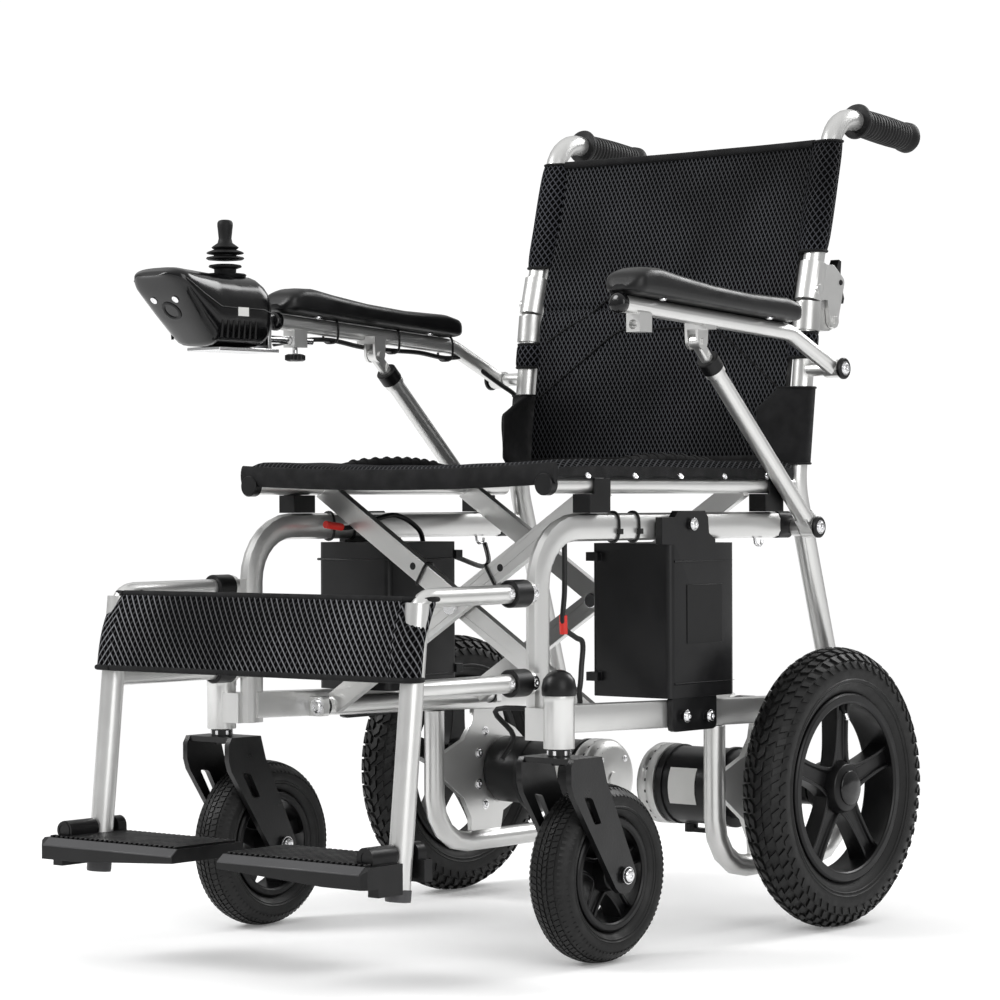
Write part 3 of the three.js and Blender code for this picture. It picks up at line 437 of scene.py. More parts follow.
def loft_of(shape, node, paint, stations=40, power=3.4, nose=0.014):
    """Follows a CAD node front to back with soft corners and rounded ends."""
    low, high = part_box(node)
    length = high.y - low.y
    rows = []
    for i in range(stations + 1):
        share = 0.5 - 0.5 * math.cos(math.pi * i / stations)
        y = low.y + length * (0.001 + 0.998 * share)
        cut_low, cut_high = section(node, 1, y)
        inset = min(y - low.y, high.y - y) / nose
        squeeze = math.sqrt(max(0.03, 1 - (1 - min(1, inset)) ** 2))
        x_half = (high.x - low.x) / 2 * squeeze
        z_half = (cut_high.z - cut_low.z) / 2 * squeeze
        x_mid, z_mid = (high.x + low.x) / 2, (cut_high.z + cut_low.z) / 2
        ends = (x_mid - x_half, z_mid - z_half), (x_mid + x_half, z_mid + z_half)
        rows.append(rounded_ring(*ends, y, power))
    return shape.skin(rows, paint, wrap=True)


def bolt(shape, at, axis, radius, paint=None, height=None):
    """A domed head with a hexagon socket ring, standing on a washer."""
    height = height or radius * 0.6
    paint = paint or BRIGHT
    washer = [(radius * 1.35, -0.5 * MM), (radius * 1.35, 0.7 * MM)]
    dome = [(radius, 0.5 * MM), (radius, height * 0.6), (radius * 0.85, height * 0.9),
            (radius * 0.55, height), (radius * 0.45, height), (radius * 0.42, height * 0.55)]
    shape.turned(washer, at, axis, paint, 24)
    shape.turned(dome, at, axis, paint, 24)


# ---------- CAD nodes that stay on show ----------
def shading_group():
    """Welds the imported facets and shades them smooth except across real edges."""
    group = bpy.data.node_groups.new("smooth facets", "GeometryNodeTree")
    for direction in ("INPUT", "OUTPUT"):
        group.interface.new_socket("Geometry", in_out=direction, socket_type="NodeSocketGeometry")
    add = group.nodes.new
    entry, leave = add("NodeGroupInput"), add("NodeGroupOutput")
    weld = add("GeometryNodeMergeByDistance")
    soft, crisp = (add("GeometryNodeSetShadeSmooth") for _ in range(2))
    weld.inputs["Distance"].default_value = 0.01 * MM
    crisp.domain = "EDGE"
    crisp.inputs["Shade Smooth"].default_value = False
    fold, steep = add("GeometryNodeInputMeshEdgeAngle"), add("ShaderNodeMath")
    steep.operation = "GREATER_THAN"
    steep.inputs[1].default_value = math.radians(34)
    link = group.links.new
    link(entry.outputs[0], weld.inputs["Geometry"])
    link(weld.outputs[0], soft.inputs["Geometry"])
    link(soft.outputs[0], crisp.inputs["Geometry"])
    link(fold.outputs["Unsigned Angle"], steep.inputs[0])
    link(steep.outputs[0], crisp.inputs["Selection"])
    link(crisp.outputs[0], leave.inputs[0])
    return group


def dress_cad_nodes():
    smooth = shading_group()
    own_paint = {"controller_bracket": BRIGHT, "back_bracket_left": CAST, "back_bracket_right": CAST}
    for part in frame["record"]["subparts"]:
        node = frame["nodes"][part["node"]]
        if "custom_normal" in node.data.attributes:
            node.data.attributes.remove(node.data.attributes["custom_normal"])
        node.data.materials.clear()
        node.data.materials.append(own_paint.get(part["node"], PAINT_OF_SLOT[part["material_slot"]]))
        node.data.polygons.foreach_set("material_index", [0] * len(node.data.polygons))
        node.modifiers.new("smooth facets", "NODES").node_group = smooth
        edge = node.modifiers.new("edge", "BEVEL")
        edge.width = 0.7 * MM
        edge.segments = 2
        edge.limit_method = "ANGLE"
        edge.angle_limit = math.radians(50)


# ---------- wheels ----------
def carcass(angle, half, crown, middle, bead, last):
    """Point (x, radius) of a tyre's outside at an angle from its centre line."""
    lean = math.cos(angle)
    if lean > 0:
        radius = middle + (crown - middle) * lean
    else:
        radius = middle - (middle - bead) * lean / math.cos(last)
    return half * math.sin(angle), radius


def tyre(side, kind, body, tread, rows, blocks):
    node = f"{kind}_tyre_{side}"
    low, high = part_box(node)
    hub = (low + high) / 2
    outer, half = (high.z - low.z) / 2, (high.x - low.x) / 2
    crown = outer - tread
    bead = rim_radius(kind, side) + 0.4 * MM
    middle = bead + (crown - bead) * 0.5
    last = math.radians(138)
    shape = Shape()
    profile = []
    for i in range(29):
        x, radius = carcass(-last + 2 * last * i / 28, half - 0.3 * MM, crown, middle, bead, last)
        profile.append((radius, x))
    shape.turned(profile, hub, X, TYRE, 120, ring=True)
    for first, second, fill, lift in rows:
        for sign in (1, -1):
            for i in range(blocks):
                start = 2 * math.pi * (i + (0.5 if sign < 0 else 0)) / blocks
                corners = []
                for height, shrink in ((-0.8 * MM, 0), (tread * lift, 0.12)):
                    for step_angle, lean in ((0, 0.25), (1, 0.25), (1, -0.1), (0, -0.1)):
                        across = second if lean > 0 else first
                        along = fill * (step_angle * (1 - shrink) + shrink / 2) + lean
                        turn = start + 2 * math.pi / blocks * along
                        angle = math.radians(sign * across)
                        x, radius = carcass(angle, half - 0.3 * MM, crown, middle, bead, last)
                        x += height * math.sin(angle)
                        radius += height * math.cos(angle)
                        corners.append(hub + Vector((x, radius * math.sin(turn), radius * math.cos(turn))))
                faces = [(0, 1, 2, 3), (4, 7, 6, 5), (0, 4, 5, 1), (1, 5, 6, 2), (2, 6, 7, 3), (3, 7, 4, 0)]
                shape.add(corners, faces, TYRE)
    for sign in (1, -1):
        for share in (0.55, 0.8):
            angle = math.radians(90 + share * 30) * sign
            x, radius = carcass(angle, half - 0.3 * MM, crown, middle, bead, last)
            corners = ((1, 0), (0, 1), (-1, 0), (0, -1))
            bead_ring = [(radius + 1.2 * MM * c, x + 0.9 * MM * s) for c, s in corners]
            shape.turned(bead_ring, hub, X, TYRE, 96, ring=True)
    piece(f"{kind}_tyre_finished_{side}", shape, body, [node])


def rim_radius(kind, side):
    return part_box(f"{kind}_rim_{side}")[1].z - centre(f"{kind}_tyre_{side}").z


def rim(side, sign, kind, body, spoke_width, ring_depth, hub_radius, cap_radius, turn):
    node = f"{kind}_rim_{side}"
    hub = centre(f"{kind}_tyre_{side}")
    low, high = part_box(node)
    outer = rim_radius(kind, side)
    half = (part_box(f"{kind}_tyre_{side}")[1].x - hub.x) * 0.74
    inner = outer - ring_depth
    reach = min(high.x - hub.x, hub.x - low.x)
    shape = Shape()
    lip = 2.5 * MM
    ring = [(outer, half), (outer - lip, half + lip), (inner + lip, half + lip), (inner, half)]
    ring += [(inner + lip, half * 0.5), (inner + lip, -half * 0.5)]
    ring += [(r, -x) for r, x in ring[3::-1]]
    shape.turned(ring, hub, X, PLASTIC, 96, ring=True)
    core = [(hub_radius * 0.55, -reach), (hub_radius, -reach * 0.8), (hub_radius * 1.15, -reach * 0.3)]
    core += [(hub_radius * 1.15, reach * 0.3), (hub_radius, reach * 0.8), (hub_radius * 0.55, reach)]
    shape.turned(core, hub, X, PLASTIC, 56)
    for i in range(5):
        angle = math.radians(72 * i + turn)
        out = Vector((0, math.cos(angle), math.sin(angle)))
        side_way = X.cross(out)
        rows = []
        for step in range(9):
            share = step / 8
            radius = hub_radius * 0.9 + (inner + lip * 1.5 - hub_radius * 0.9) * share
            flare = 1 + 0.35 * (abs(share - 0.5) * 2) ** 3
            w, t = spoke_width / 2 * flare * (1 - 0.22 * share), half * (0.38 + 0.12 * share)
            rib, wall = t * 0.45, w * 0.3
            outline = [(-w, -t), (w, -t), (w, t + rib), (w - wall, t + rib), (w - wall * 1.4, t)]
            outline += [(-w + wall * 1.4, t), (-w + wall, t + rib), (-w, t + rib)]
            rows.append([hub + out * radius + side_way * a + X * (b * sign) for a, b in outline])
        shape.skin(rows, PLASTIC, wrap=True)
    face = hub + X * (sign * reach)
    shape.turned(
        [(cap_radius, -3 * MM), (cap_radius, 0), (cap_radius * 0.86, 1.4 * MM), (cap_radius * 0.3, 2.2 * MM)],
        face, X * sign, GLOSS if kind == "wheel" else PLASTIC, 48)
    if kind == "wheel":
        valve = hub + Vector((0, 0, inner + 2 * MM)) + X * (sign * half * 0.4)
        stem, tip = (valve + X * (sign * out * MM) - Z * down * MM for out, down in ((8, 13), (11, 20)))
        shape.tube([valve, stem - Z * 1 * MM], 2.6 * MM, RUBBER, 12)
        shape.tube([stem, tip], 3.1 * MM, BRIGHT, 12)
    piece(f"{kind}_rim_finished_{side}", shape, body, [node], bevel=0.8 * MM)


def build_wheels():
    for side, sign in SIDES:
        # tread rows: inner and outer angle across the tyre, filled share of the pitch, height share
        rear_rows = ((3, 17, 0.6, 1.0), (21, 37, 0.55, 1.0), (41, 60, 0.5, 0.9), (64, 82, 0.35, 0.5))
        front_rows = ((2, 11, 0.86, 0.9), (16, 30, 0.86, 0.9), (38, 74, 0.5, 0.8))
        tyre(side, "wheel", f"wheel_{side}", 3.2 * MM, rear_rows, 58)
        tyre(side, "caster", f"caster_{side}", 1.3 * MM, front_rows, 84)
        rim(side, sign, "wheel", f"wheel_{side}", 27 * MM, 13 * MM, 27 * MM, 20 * MM, 18)
        rim(side, sign, "caster", f"caster_{side}", 21 * MM, 10 * MM, 17 * MM, 11 * MM, 18)


# ---------- grips, pads and controller ----------
def build_grips():
    for side, _ in SIDES:
        node = f"grip_{side}"
        low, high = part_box(node)
        a = cut_centre(node, 1, low.y + 20 * MM)
        b = cut_centre(node, 1, high.y - 20 * MM)
        way = (b - a).normalized()
        start = a - way * (20 * MM)
        length = (b - a).length + 40 * MM
        flange = [(15, 0.5), (20.5, 1), (21.5, 4), (20, 7.5), (16.6, 9)]
        profile = [(radius * MM, at * MM) for radius, at in flange]
        ribs = 15
        for i in range(ribs):
            at = 13 * MM + (length - 32 * MM) * i / ribs
            swell = 0.9 * MM * math.sin(math.pi * i / ribs)
            groove, crest = 15.6 * MM + swell, 16.9 * MM + swell
            profile += [(groove, at), (crest, at + 1.2 * MM), (crest, at + 4.2 * MM), (groove, at + 5.4 * MM)]
        end = length - 1 * MM
        profile += [(16.4 * MM, end - 16 * MM), (18.4 * MM, end - 12 * MM), (18.8 * MM, end - 5 * MM)]
        profile += [(16.5 * MM, end - 1 * MM), (11 * MM, end)]
        shape = Shape().turned(profile, start, way, RUBBER, 48)
        piece(f"grip_finished_{side}", shape, f"back_{side}", [node], angle=50)


def build_arm_pads():
    for side, _ in SIDES:
        node = f"arm_pad_{side}"
        shape = loft_of(Shape(), node, PAD, 60, 3.6, 16 * MM)
        low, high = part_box(node)
        for y in (low.y + 60 * MM, high.y - 60 * MM):
            under = section(node, 1, y)[0].z
            bolt(shape, Vector(((low.x + high.x) / 2 + 14 * MM, y, under)), -Z, 3.5 * MM)
        piece(f"arm_pad_finished_{side}", shape, f"arm_{side}", [node], angle=60)


def build_controller():
    node = "controller"
    low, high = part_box(node)
    shape = loft_of(Shape(), node, GLOSS, 64, 2.9, 22 * MM)
    x_mid = (low.x + high.x) / 2
    seam, vents = [], 7
    for i in range(41):
        y = low.y + 16 * MM + (high.y - low.y - 30 * MM) * i / 40
        cut_low, cut_high = section(node, 1, y)
        seam.append((y, cut_low.z + (cut_high.z - cut_low.z) * 0.52))
    for side_sign in (1, -1):
        x = x_mid + side_sign * (high.x - low.x) / 2 * 0.985
        shape.tube([(x, y, z) for y, z in seam], 0.9 * MM, PLASTIC, 8)
    for i in range(vents):
        y = low.y + 74 * MM + 9 * MM * i
        cut_low, cut_high = section(node, 1, y)
        for side_sign in (1, -1):
            x = x_mid + side_sign * (high.x - low.x) / 2 * 0.93
            foot = cut_low.z + 9 * MM
            shape.tube([(x, y, foot), (x + side_sign * 2 * MM, y, foot + 20 * MM)], 1.6 * MM, PLASTIC, 8)
    piece("controller_finished", shape, "arm_right", [node], angle=60)
    pivot = Vector(JOINTS["stick_pitch"]["pos_m"])
    boot_profile = [(9, -10), (12.4, -4), (12.8, 3), (18.6, 5), (19, 6.4), (18, 7.6), (12, 8.6), (9, 8.6)]
    boot = Shape().lathe(boot_profile, pivot, Z, RUBBER)
    piece("stick_gimbal_finished", boot, "gimbal", ["stick_gimbal"], angle=50)
    profile = [(9, 12.6), (20, 13.6), (22, 15), (21, 16.6), (13, 18.2), (13, 19.2), (20.5, 20.4),
               (21.6, 21.4), (20, 22.8), (12.6, 25.5), (15, 26.8), (15.6, 28), (14, 29.2), (8.6, 33),
               (7.4, 38), (8.2, 46), (9, 53), (8.9, 56), (7.6, 58.4), (4.5, 59.5)]
    knob = Shape().lathe(profile, pivot, Z, RUBBER)
    piece("stick_finished", knob, "joystick", ["stick"], angle=50)
    collar_profile = [(23, -7), (24.5, -3.6), (22.5, -2.4), (20.5, -3.6), (20, -7)]
    trim = Shape().lathe(collar_profile, pivot, Z, PLASTIC, ring=True)
    slope = Vector((0, -0.742, -0.67))
    face_y = low.y + 34 * MM
    face = Vector((x_mid, face_y, section(node, 1, face_y)[0].z))
    trim.lathe([(13, -4), (13, 0.6), (11, 1.6), (9, 0.8), (8.6, -2)], face, slope, PLASTIC, 40)
    for x in (-17, 17):
        bolt(trim, face + Vector((x * MM, -11 * MM, 12 * MM)), slope, 3.2 * MM, BRIGHT, 1 * MM)
    trim.block((high.x - 2.2 * MM, pivot.y - 22 * MM, pivot.z - 53 * MM),
               (high.x + 0.3 * MM, pivot.y - 5 * MM, pivot.z - 43 * MM), LABEL)
    shelf_low, shelf_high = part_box("controller_bracket")
    cover_z = shelf_high.z - 12 * MM
    ear, hang = 10.08, 27.72
    outline = [(ear * math.cos(a), ear * math.sin(a)) for a in np.linspace(0, math.pi, 13)]
    outline += [(-ear, -hang), (ear, -hang)]
    plate_y = high.y + 0.2 * MM
    bar_x = centre("arm_pad_right").x
    rows = [[(bar_x + a * MM, y, cover_z + b * MM) for a, b in outline] for y in (plate_y, plate_y + 5 * MM)]
    trim.skin(rows, PLASTIC, wrap=True)
    knob_at = Vector((bar_x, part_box("armrest_right")[0].y + 40 * MM, shelf_low.z + 9 * MM))
    collar(trim, knob_at, -Z, 3 * MM, 12 * MM, BRIGHT, 20)
    knob_rows = []
    for drop, grow in ((8, 0.7), (9.5, 1.0), (15, 1.0), (16.5, 0.75)):
        row = []
        for a in np.linspace(0, 2 * math.pi, 48, False):
            lobed = (11 + 1.6 * math.cos(6 * a)) * grow * MM
            row.append(knob_at - Z * drop * MM + Vector((math.cos(a), math.sin(a), 0)) * lobed)
        knob_rows.append(row)
    trim.skin(knob_rows, PLASTIC, wrap=True)
    piece("controller_trim", trim, "arm_right", angle=50)


# ---------- frame fittings ----------
def build_fittings():
    for side, sign in SIDES:
        shape = Shape()
        hanger = f"hanger_{side}"
        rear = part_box(hanger)[1].y
        tube_x = cut_centre(hanger, 1, rear - 4 * MM).x
        for height in fork_heights(side):
            start = Vector((tube_x, rear - 33 * MM, height))
            collar(shape, start, Y, 14.6 * MM, 27 * MM, PLASTIC)
            bolt(shape, start + Vector((sign * 10 * MM, -5 * MM, 0)), X * sign, 3.6 * MM)
            collar(shape, start + Vector((sign * 4 * MM, 30 * MM, 0)), X * sign, 8.5 * MM, 8 * MM, BRIGHT, 32)
            bolt(shape, start + Vector((sign * 12 * MM, 30 * MM, 0)), X * sign, 4.4 * MM)
        piece(f"hanger_sleeves_{side}", shape, f"side_{side}", angle=28)

        build_end_caps(side, sign)

        housing = Vector(JOINTS[f"caster_swivel_{side}"]["pos_m"])
        dome_foot = section(f"side_frame_{side}", 0, housing.x + sign * 15 * MM)[1].z
        dome = [(17.6, -2), (18.2, 0), (18.2, 7), (16.6, 15), (12, 21), (6, 24.4), (2, 25)]
        cap = Shape().lathe(dome, (housing.x, housing.y, dome_foot - 5 * MM), Z, PLASTIC)
        piece(f"stem_cap_{side}", cap, f"side_{side}", angle=60)

        bolts = Shape()
        hub = centre(f"wheel_tyre_{side}")
        plate_face = abs(centre(f"hanger_{side}").x) - 2.2 * MM
        for y, z in ((-34, 44), (-46, 18), (-46, -20), (-34, -46)):
            bolt(bolts, (sign * plate_face, hub.y + y * MM, hub.z + z * MM), X * sign, 4.6 * MM)
            bolt(bolts, (sign * (plate_face - 7.2 * MM), hub.y + y * MM, hub.z + z * MM), -X * sign, 4.6 * MM)
        piece(f"motor_plate_bolts_{side}", bolts, f"side_{side}")

        fork = Shape()
        axle = centre(f"caster_tyre_{side}")
        fork_low, fork_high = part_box(f"caster_fork_{side}")
        for way, face in ((1, fork_high.x), (-1, fork_low.x)):
            bolt(fork, Vector((face - way * 1 * MM, axle.y, axle.z)), X * way, 6.8 * MM)
        collar(fork, Vector((housing.x, housing.y, fork_high.z - 35.5 * MM)), Z, 12.8 * MM, 7 * MM, BRIGHT, 6)
        piece(f"fork_bolts_{side}", fork, f"fork_{side}")


def build_end_caps(side, sign):
    """Black plugs, washers and bolts where tubes end or turn."""
    arm = f"armrest_{side}"
    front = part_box(arm)[0].y
    a, b = (cut_centre(arm, 1, front + step * MM) for step in (12, 80))
    way = (b - a).normalized()
    dome = [(2, -1.5), (7, -1.2), (10.2, 0.6), (11, 2.5), (11, 9), (10.2, 10)]
    cap = Shape().lathe(dome, a - way * 12 * MM, way, GLOSS, 40)
    piece(f"arm_cap_{side}", cap, f"arm_{side}", angle=50)

    foot, top = (Vector(JOINTS[f"strut_{end}_{side}"]["pos_m"]) for end in ("foot", "top"))
    way = (top - foot).normalized()
    mouth = foot + way * ((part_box(f"strut_tube_{side}")[1].z - foot.z) / way.z)
    ring = collar(Shape(), mouth - way * 19 * MM, way, 12.6 * MM, 17 * MM, PLASTIC)
    piece(f"strut_collar_{side}", ring, f"strut_tube_body_{side}")

    discs = Shape()
    arm_pivot = Vector(JOINTS[f"arm_flip_{side}"]["pos_m"])
    arm_x = centre(f"arm_pad_{side}").x
    for at, face in ((foot, 9.4), (Vector((arm_x, arm_pivot.y, arm_pivot.z)), 10.8)):
        outer = at + X * (sign * face * MM)
        collar(discs, outer, X * sign, 12.5 * MM, 5 * MM, PLASTIC)
        bolt(discs, outer + X * (sign * 5 * MM), X * sign, 6 * MM)
    tube_x = cut_centre(f"side_frame_{side}", 1, UPRIGHT_Y + 300 * MM).x
    rows = []
    for y, grow in ((438, 0.9), (440, 1.0), (464, 1.0), (466, 0.9)):
        at = behind_upright(0, y, 460)
        rows.append(rounded_ring((tube_x - 8.6 * grow * MM, at.z - 15.6 * grow * MM),
                                 (tube_x + 8.6 * grow * MM, at.z + 15.6 * grow * MM), at.y, 2.8))
    discs.skin(rows, PLASTIC, wrap=True)
    for y in (132, 168):
        middle = behind_upright(0, y - 2, 460) + X * tube_x
        discs.tube(closed_ring(middle, X * 9.2 * MM, Z * 16.2 * MM, 28, 0.75), 1.5 * MM, CABLE, 8)
        head = middle + Vector((sign * 9.5 * MM, 0, -5 * MM))
        discs.block(head - Vector((3, 3, 3)) * MM, head + Vector((3, 3, 3)) * MM, CABLE)
    hook = ((398, 446), (400, 439), (406, 436), (412, 438), (413, 443))
    discs.tube(curve([behind_upright(0, y, z) + X * tube_x for y, z in hook], 4), 1.8 * MM, BRIGHT, 10)
    pivot = Vector(JOINTS["fold" if side == "right" else "fold_left"]["pos_m"])
    for y, way in ((86, -1), (410, 1)):
        at = behind_upright(0, y, 252) + X * pivot.x
        bolt(discs, at, Y * way, 7.5 * MM)
        collar(discs, at - Y * (way * 11 * MM), -Y * way, 11.4 * MM, 3 * MM, PLASTIC)
    piece(f"end_discs_{side}", discs, f"side_{side}", angle=28)

    rail = f"cross_half_{side}_rail"
    tip_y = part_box(rail)[0].y
    tip = section(rail, 1, tip_y + 4 * MM)
    middle = (tip[0] + tip[1]) / 2
    plug = collar(Shape(), Vector((middle.x, tip_y - 0.8 * MM, middle.z)), Y, 11.9 * MM, 12 * MM, PLASTIC)
    body, bar_front = ("cross_a", 106) if side == "left" else ("cross_b", 120)

    # each bar climbs from the pivot on the far side up to its own rail; the hole is 257 mm along the floor
    pivot_x, pivot_z, hole_run = 187, 252, 257
    bar_run, bar_rise = 401.5, 254
    hole_z = pivot_z + hole_run * bar_rise / bar_run
    hole = behind_upright(sign * (hole_run - pivot_x), bar_front, hole_z)
    collar(plug, hole - Y * 0.5 * MM, Y, 4.4 * MM, 2 * MM, CABLE, 24)
    along = Vector((sign * bar_run, 0, bar_rise)).normalized()
    tie = hole - along * 16 * MM + Y * 5 * MM
    plug.tube(closed_ring(tie, Y * 7 * MM, Y.cross(along) * 14.5 * MM, 28, 0.35), 1.4 * MM, CABLE, 8)
    piece(f"rail_plug_{side}", plug, body)


def fork_heights(side):
    """Heights of the two tubes that hold a leg rest to the front upright."""
    node = f"hanger_{side}"
    cut_low, cut_high = section(node, 1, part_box(node)[1].y - 4 * MM)
    return cut_high.z - 13.5 * MM, cut_low.z + 13.5 * MM


def build_footplates():
    for side, sign in SIDES:
        node = f"footplate_{side}"
        low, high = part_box(node)
        top = next(m for m in frame["record"]["mounts"] if m["name"] == f"{side}_footrest")["pos_m"][2]
        inner = min(abs(low.x), abs(high.x))
        outer = max(abs(low.x), abs(high.x))
        front, rear = low.y, high.y
        shape = Shape()
        pitch = 7.4 * MM
        x = inner + 5 * MM
        while x < outer - 4 * MM:
            stop = front + 18 * MM if x > outer - 33 * MM else rear - 3 * MM
            span = sorted((sign * x, sign * (x + 4 * MM)))
            shape.block((span[0], front + 10.5 * MM, top - 0.6 * MM),
                        (span[1], stop, top + 2.4 * MM), PLASTIC)
            x += pitch
        ends = sorted((sign * (inner + 1 * MM), sign * (outer - 7 * MM)))
        edge = [(-0.3, -8), (1.6, -8), (9.6, -0.8), (8.8, 0.5), (-0.3, -6.6)]
        rows = [[(x_end, front + y * MM, top + z * MM) for y, z in edge] for x_end in ends]
        # the front bevel strip is painted pale grey as a painted highlight, standing in for the light its sloped
        # facet catches
        shape.skin(rows, GREY_AND_PAINTED_SHEEN, wrap=True)
        piece(f"footplate_tread_{side}", shape, f"footplate_body_{side}",
              bevel=0.4 * MM)
        pin = JOINTS[f"footplate_flip_{side}"]["pos_m"]
        lugs = Shape()
        lugs.lathe([(9.4, -0.3), (9.4, 0.6), (6.4, 0.6), (6.2, -2.5)],
                   (pin[0] + sign * 2 * MM, front + 21 * MM, pin[2]), -Y, PLASTIC, 32)
        bolt(lugs, (pin[0] + sign * 1 * MM, rear, pin[2]), Y, 4.5 * MM)
        piece(f"footplate_pins_{side}", lugs, f"footplate_body_{side}")
        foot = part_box(f"hanger_{side}")[0]
        tube_foot = cut_centre(f"hanger_{side}", 2, foot.z + 12 * MM)
        plug = Shape().lathe([(9, -3), (12.8, -2.4), (13.3, 0), (13.3, 9), (12.4, 10)],
                             (tube_foot.x, tube_foot.y - 1.2 * MM, foot.z), Vector((0, 0.105, 1)), GREY_AND_PAINTED_SHEEN, 40)
        piece(f"tube_foot_{side}", plug, f"side_{side}")


def build_motors():
    for side, sign in SIDES:
        node = f"motor_{side}"
        low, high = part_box(node)
        inner = min(abs(low.x), abs(high.x))
        cut = section(node, 0, sign * (inner + 20 * MM))
        axis_at = (cut[0] + cut[1]) / 2
        radius = (cut[1].z - cut[0].z) / 2
        start = Vector((sign * inner, axis_at.y, axis_at.z))
        bell = Shape().turned(
            [(8 * MM, -2.5 * MM), (9 * MM, -0.6 * MM), (radius * 0.78, -0.6 * MM), (radius * 0.94, 3 * MM),
             (radius + 0.8 * MM, 9 * MM), (radius + 0.8 * MM, 15 * MM), (radius - 0.2 * MM, 16 * MM),
             (radius - 0.2 * MM, 18 * MM), (radius + 0.8 * MM, 19 * MM), (radius + 0.8 * MM, 29 * MM),
             (radius - 1 * MM, 29.4 * MM)], start, X * sign, CAST, 64)
        for i in range(4):
            angle = math.radians(45 + 90 * i)
            outward = Vector((0, math.cos(angle), math.sin(angle)))
            at = start + outward * (radius * 0.7) - X * (sign * 0.6 * MM)
            bolt(bell, at, -X * sign, 3 * MM)
        for at in (34, 112):
            bell.turned([(radius - 2.4 * MM, at * MM), (radius + 0.2 * MM, (at + 1) * MM),
                         (radius + 0.2 * MM, (at + 6) * MM), (radius - 2.4 * MM, (at + 7) * MM)],
                        start, X * sign, CASE, 64)
        piece(f"motor_bell_{side}", bell, f"side_{side}", angle=45)
        plate = Shape()
        rows = []
        for lift in (-1.0 * MM, -2.2 * MM):
            out = radius + lift
            edge = label_ring(50 * MM, 88 * MM, math.radians(150), math.radians(205))
            rows.append([start + Vector((sign * x, math.cos(a) * out, math.sin(a) * out)) for x, a in edge])
        plate.skin(rows, LABEL, wrap=True)
        piece(f"motor_label_{side}", plate, f"side_{side}")


def label_ring(x_low, x_high, a_low, a_high, steps=8):
    """Round the edge of a curved plate, as (x, angle)."""
    angles = np.linspace(a_low, a_high, steps)
    return [(x_low, a) for a in angles] + [(x_high, a) for a in angles[::-1]]


def build_batteries():
    for side, sign in SIDES:
        node = f"battery_{side}"
        low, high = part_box(node)
        tabs_top = section(node, 0, sign * 150 * MM)[1].z
        tabs_low = section(node, 0, sign * 150 * MM)[0].z
        inner, outer = sorted((abs(low.x), abs(high.x)))
        body_front = section(node, 2, (tabs_low + tabs_top) / 2)
        shape = Shape()
        x_low, x_high = sorted((sign * (inner + 2 * MM), sign * (outer - 4 * MM)))
        for z in (tabs_top - 20 * MM, tabs_low + 16 * MM):
            lug_end, plain_end = (body_front[0].y, body_front[1].y)[::sign]
            lug_end += sign * 8 * MM
            corners = ((x_low, lug_end), (x_high, lug_end), (x_high, plain_end), (x_low, plain_end))
            rim_path = [(x, y, z) for x, y in corners]
            shape.tube(rim_path + [rim_path[0]], 1.5 * MM, CASE, 8)
        face = sign * (outer - 4 * MM)
        panel = sorted((face - sign * 1 * MM, face + sign * 0.9 * MM))
        shape.block((panel[0], body_front[0].y + 30 * MM, tabs_low + 60 * MM),
                    (panel[1], body_front[1].y - 26 * MM, tabs_top - 46 * MM), PLASTIC)
        middle = (body_front[0].y + body_front[1].y) / 2
        for y, z in ((-22, 462), (-36, 250), (8, 248)):
            bolt(shape, (sign * outer, middle + sign * y * MM, z * MM), X * sign, 5.2 * MM)
        piece(f"battery_trim_{side}", shape, f"side_{side}", bevel=0.6 * MM)


# ---------- soft goods ----------
def ripple(x, z, size=1.0):
    """A gentle, repeatable waviness of cloth, about one millimetre either way."""
    wave = math.sin(x * 41 + z * 17)
    wave += 0.6 * math.sin(x * 23 - z * 61 + 1.3)
    wave += 0.4 * math.sin(z * 97 + x * 71 + 0.4)
    return wave * 0.5 * MM * size


def panel_face(node, share_x, z, outward, lap=None):
    """A point on the front (outward -1) or rear (+1) of a back panel, bellied like a hung cloth.
    lap is (height, way): beyond that height the cloth thins and moves forward or back to pass
    its neighbour."""
    low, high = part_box(node)
    cut_low, cut_high = section(node, 2, min(max(z, low.z + 1 * MM), high.z - 1 * MM))
    x = cut_low.x + (cut_high.x - cut_low.x) * share_x
    belly = 9 * MM * math.sin(math.pi * share_x) ** 0.8
    half, shift = 5 * MM, 0
    if lap:
        share = min(1, max(0, 1 - abs(z - lap[0]) / (16 * MM)))
        half -= 2.8 * MM * share
        shift = lap[1] * 4 * MM * share
    return Vector((x, (cut_low.y + cut_high.y) / 2 + outward * half + shift + belly + ripple(x, z), z))


def quilt(shape, front, rear, paint, rear_paint=None):
    """A closed sheet from two matching grids of points."""
    rear_paint = rear_paint or paint
    shape.skin(front, paint)
    shape.skin([row[::-1] for row in rear], rear_paint)
    shape.skin([outline_of(front), outline_of(rear)], TAPE, wrap=True, caps=False)


def outline_of(grid):
    """The points round the edge of a grid."""
    return grid[0] + [row[-1] for row in grid[1:]] + grid[-1][-2::-1] + [row[0] for row in grid[-2:0:-1]]


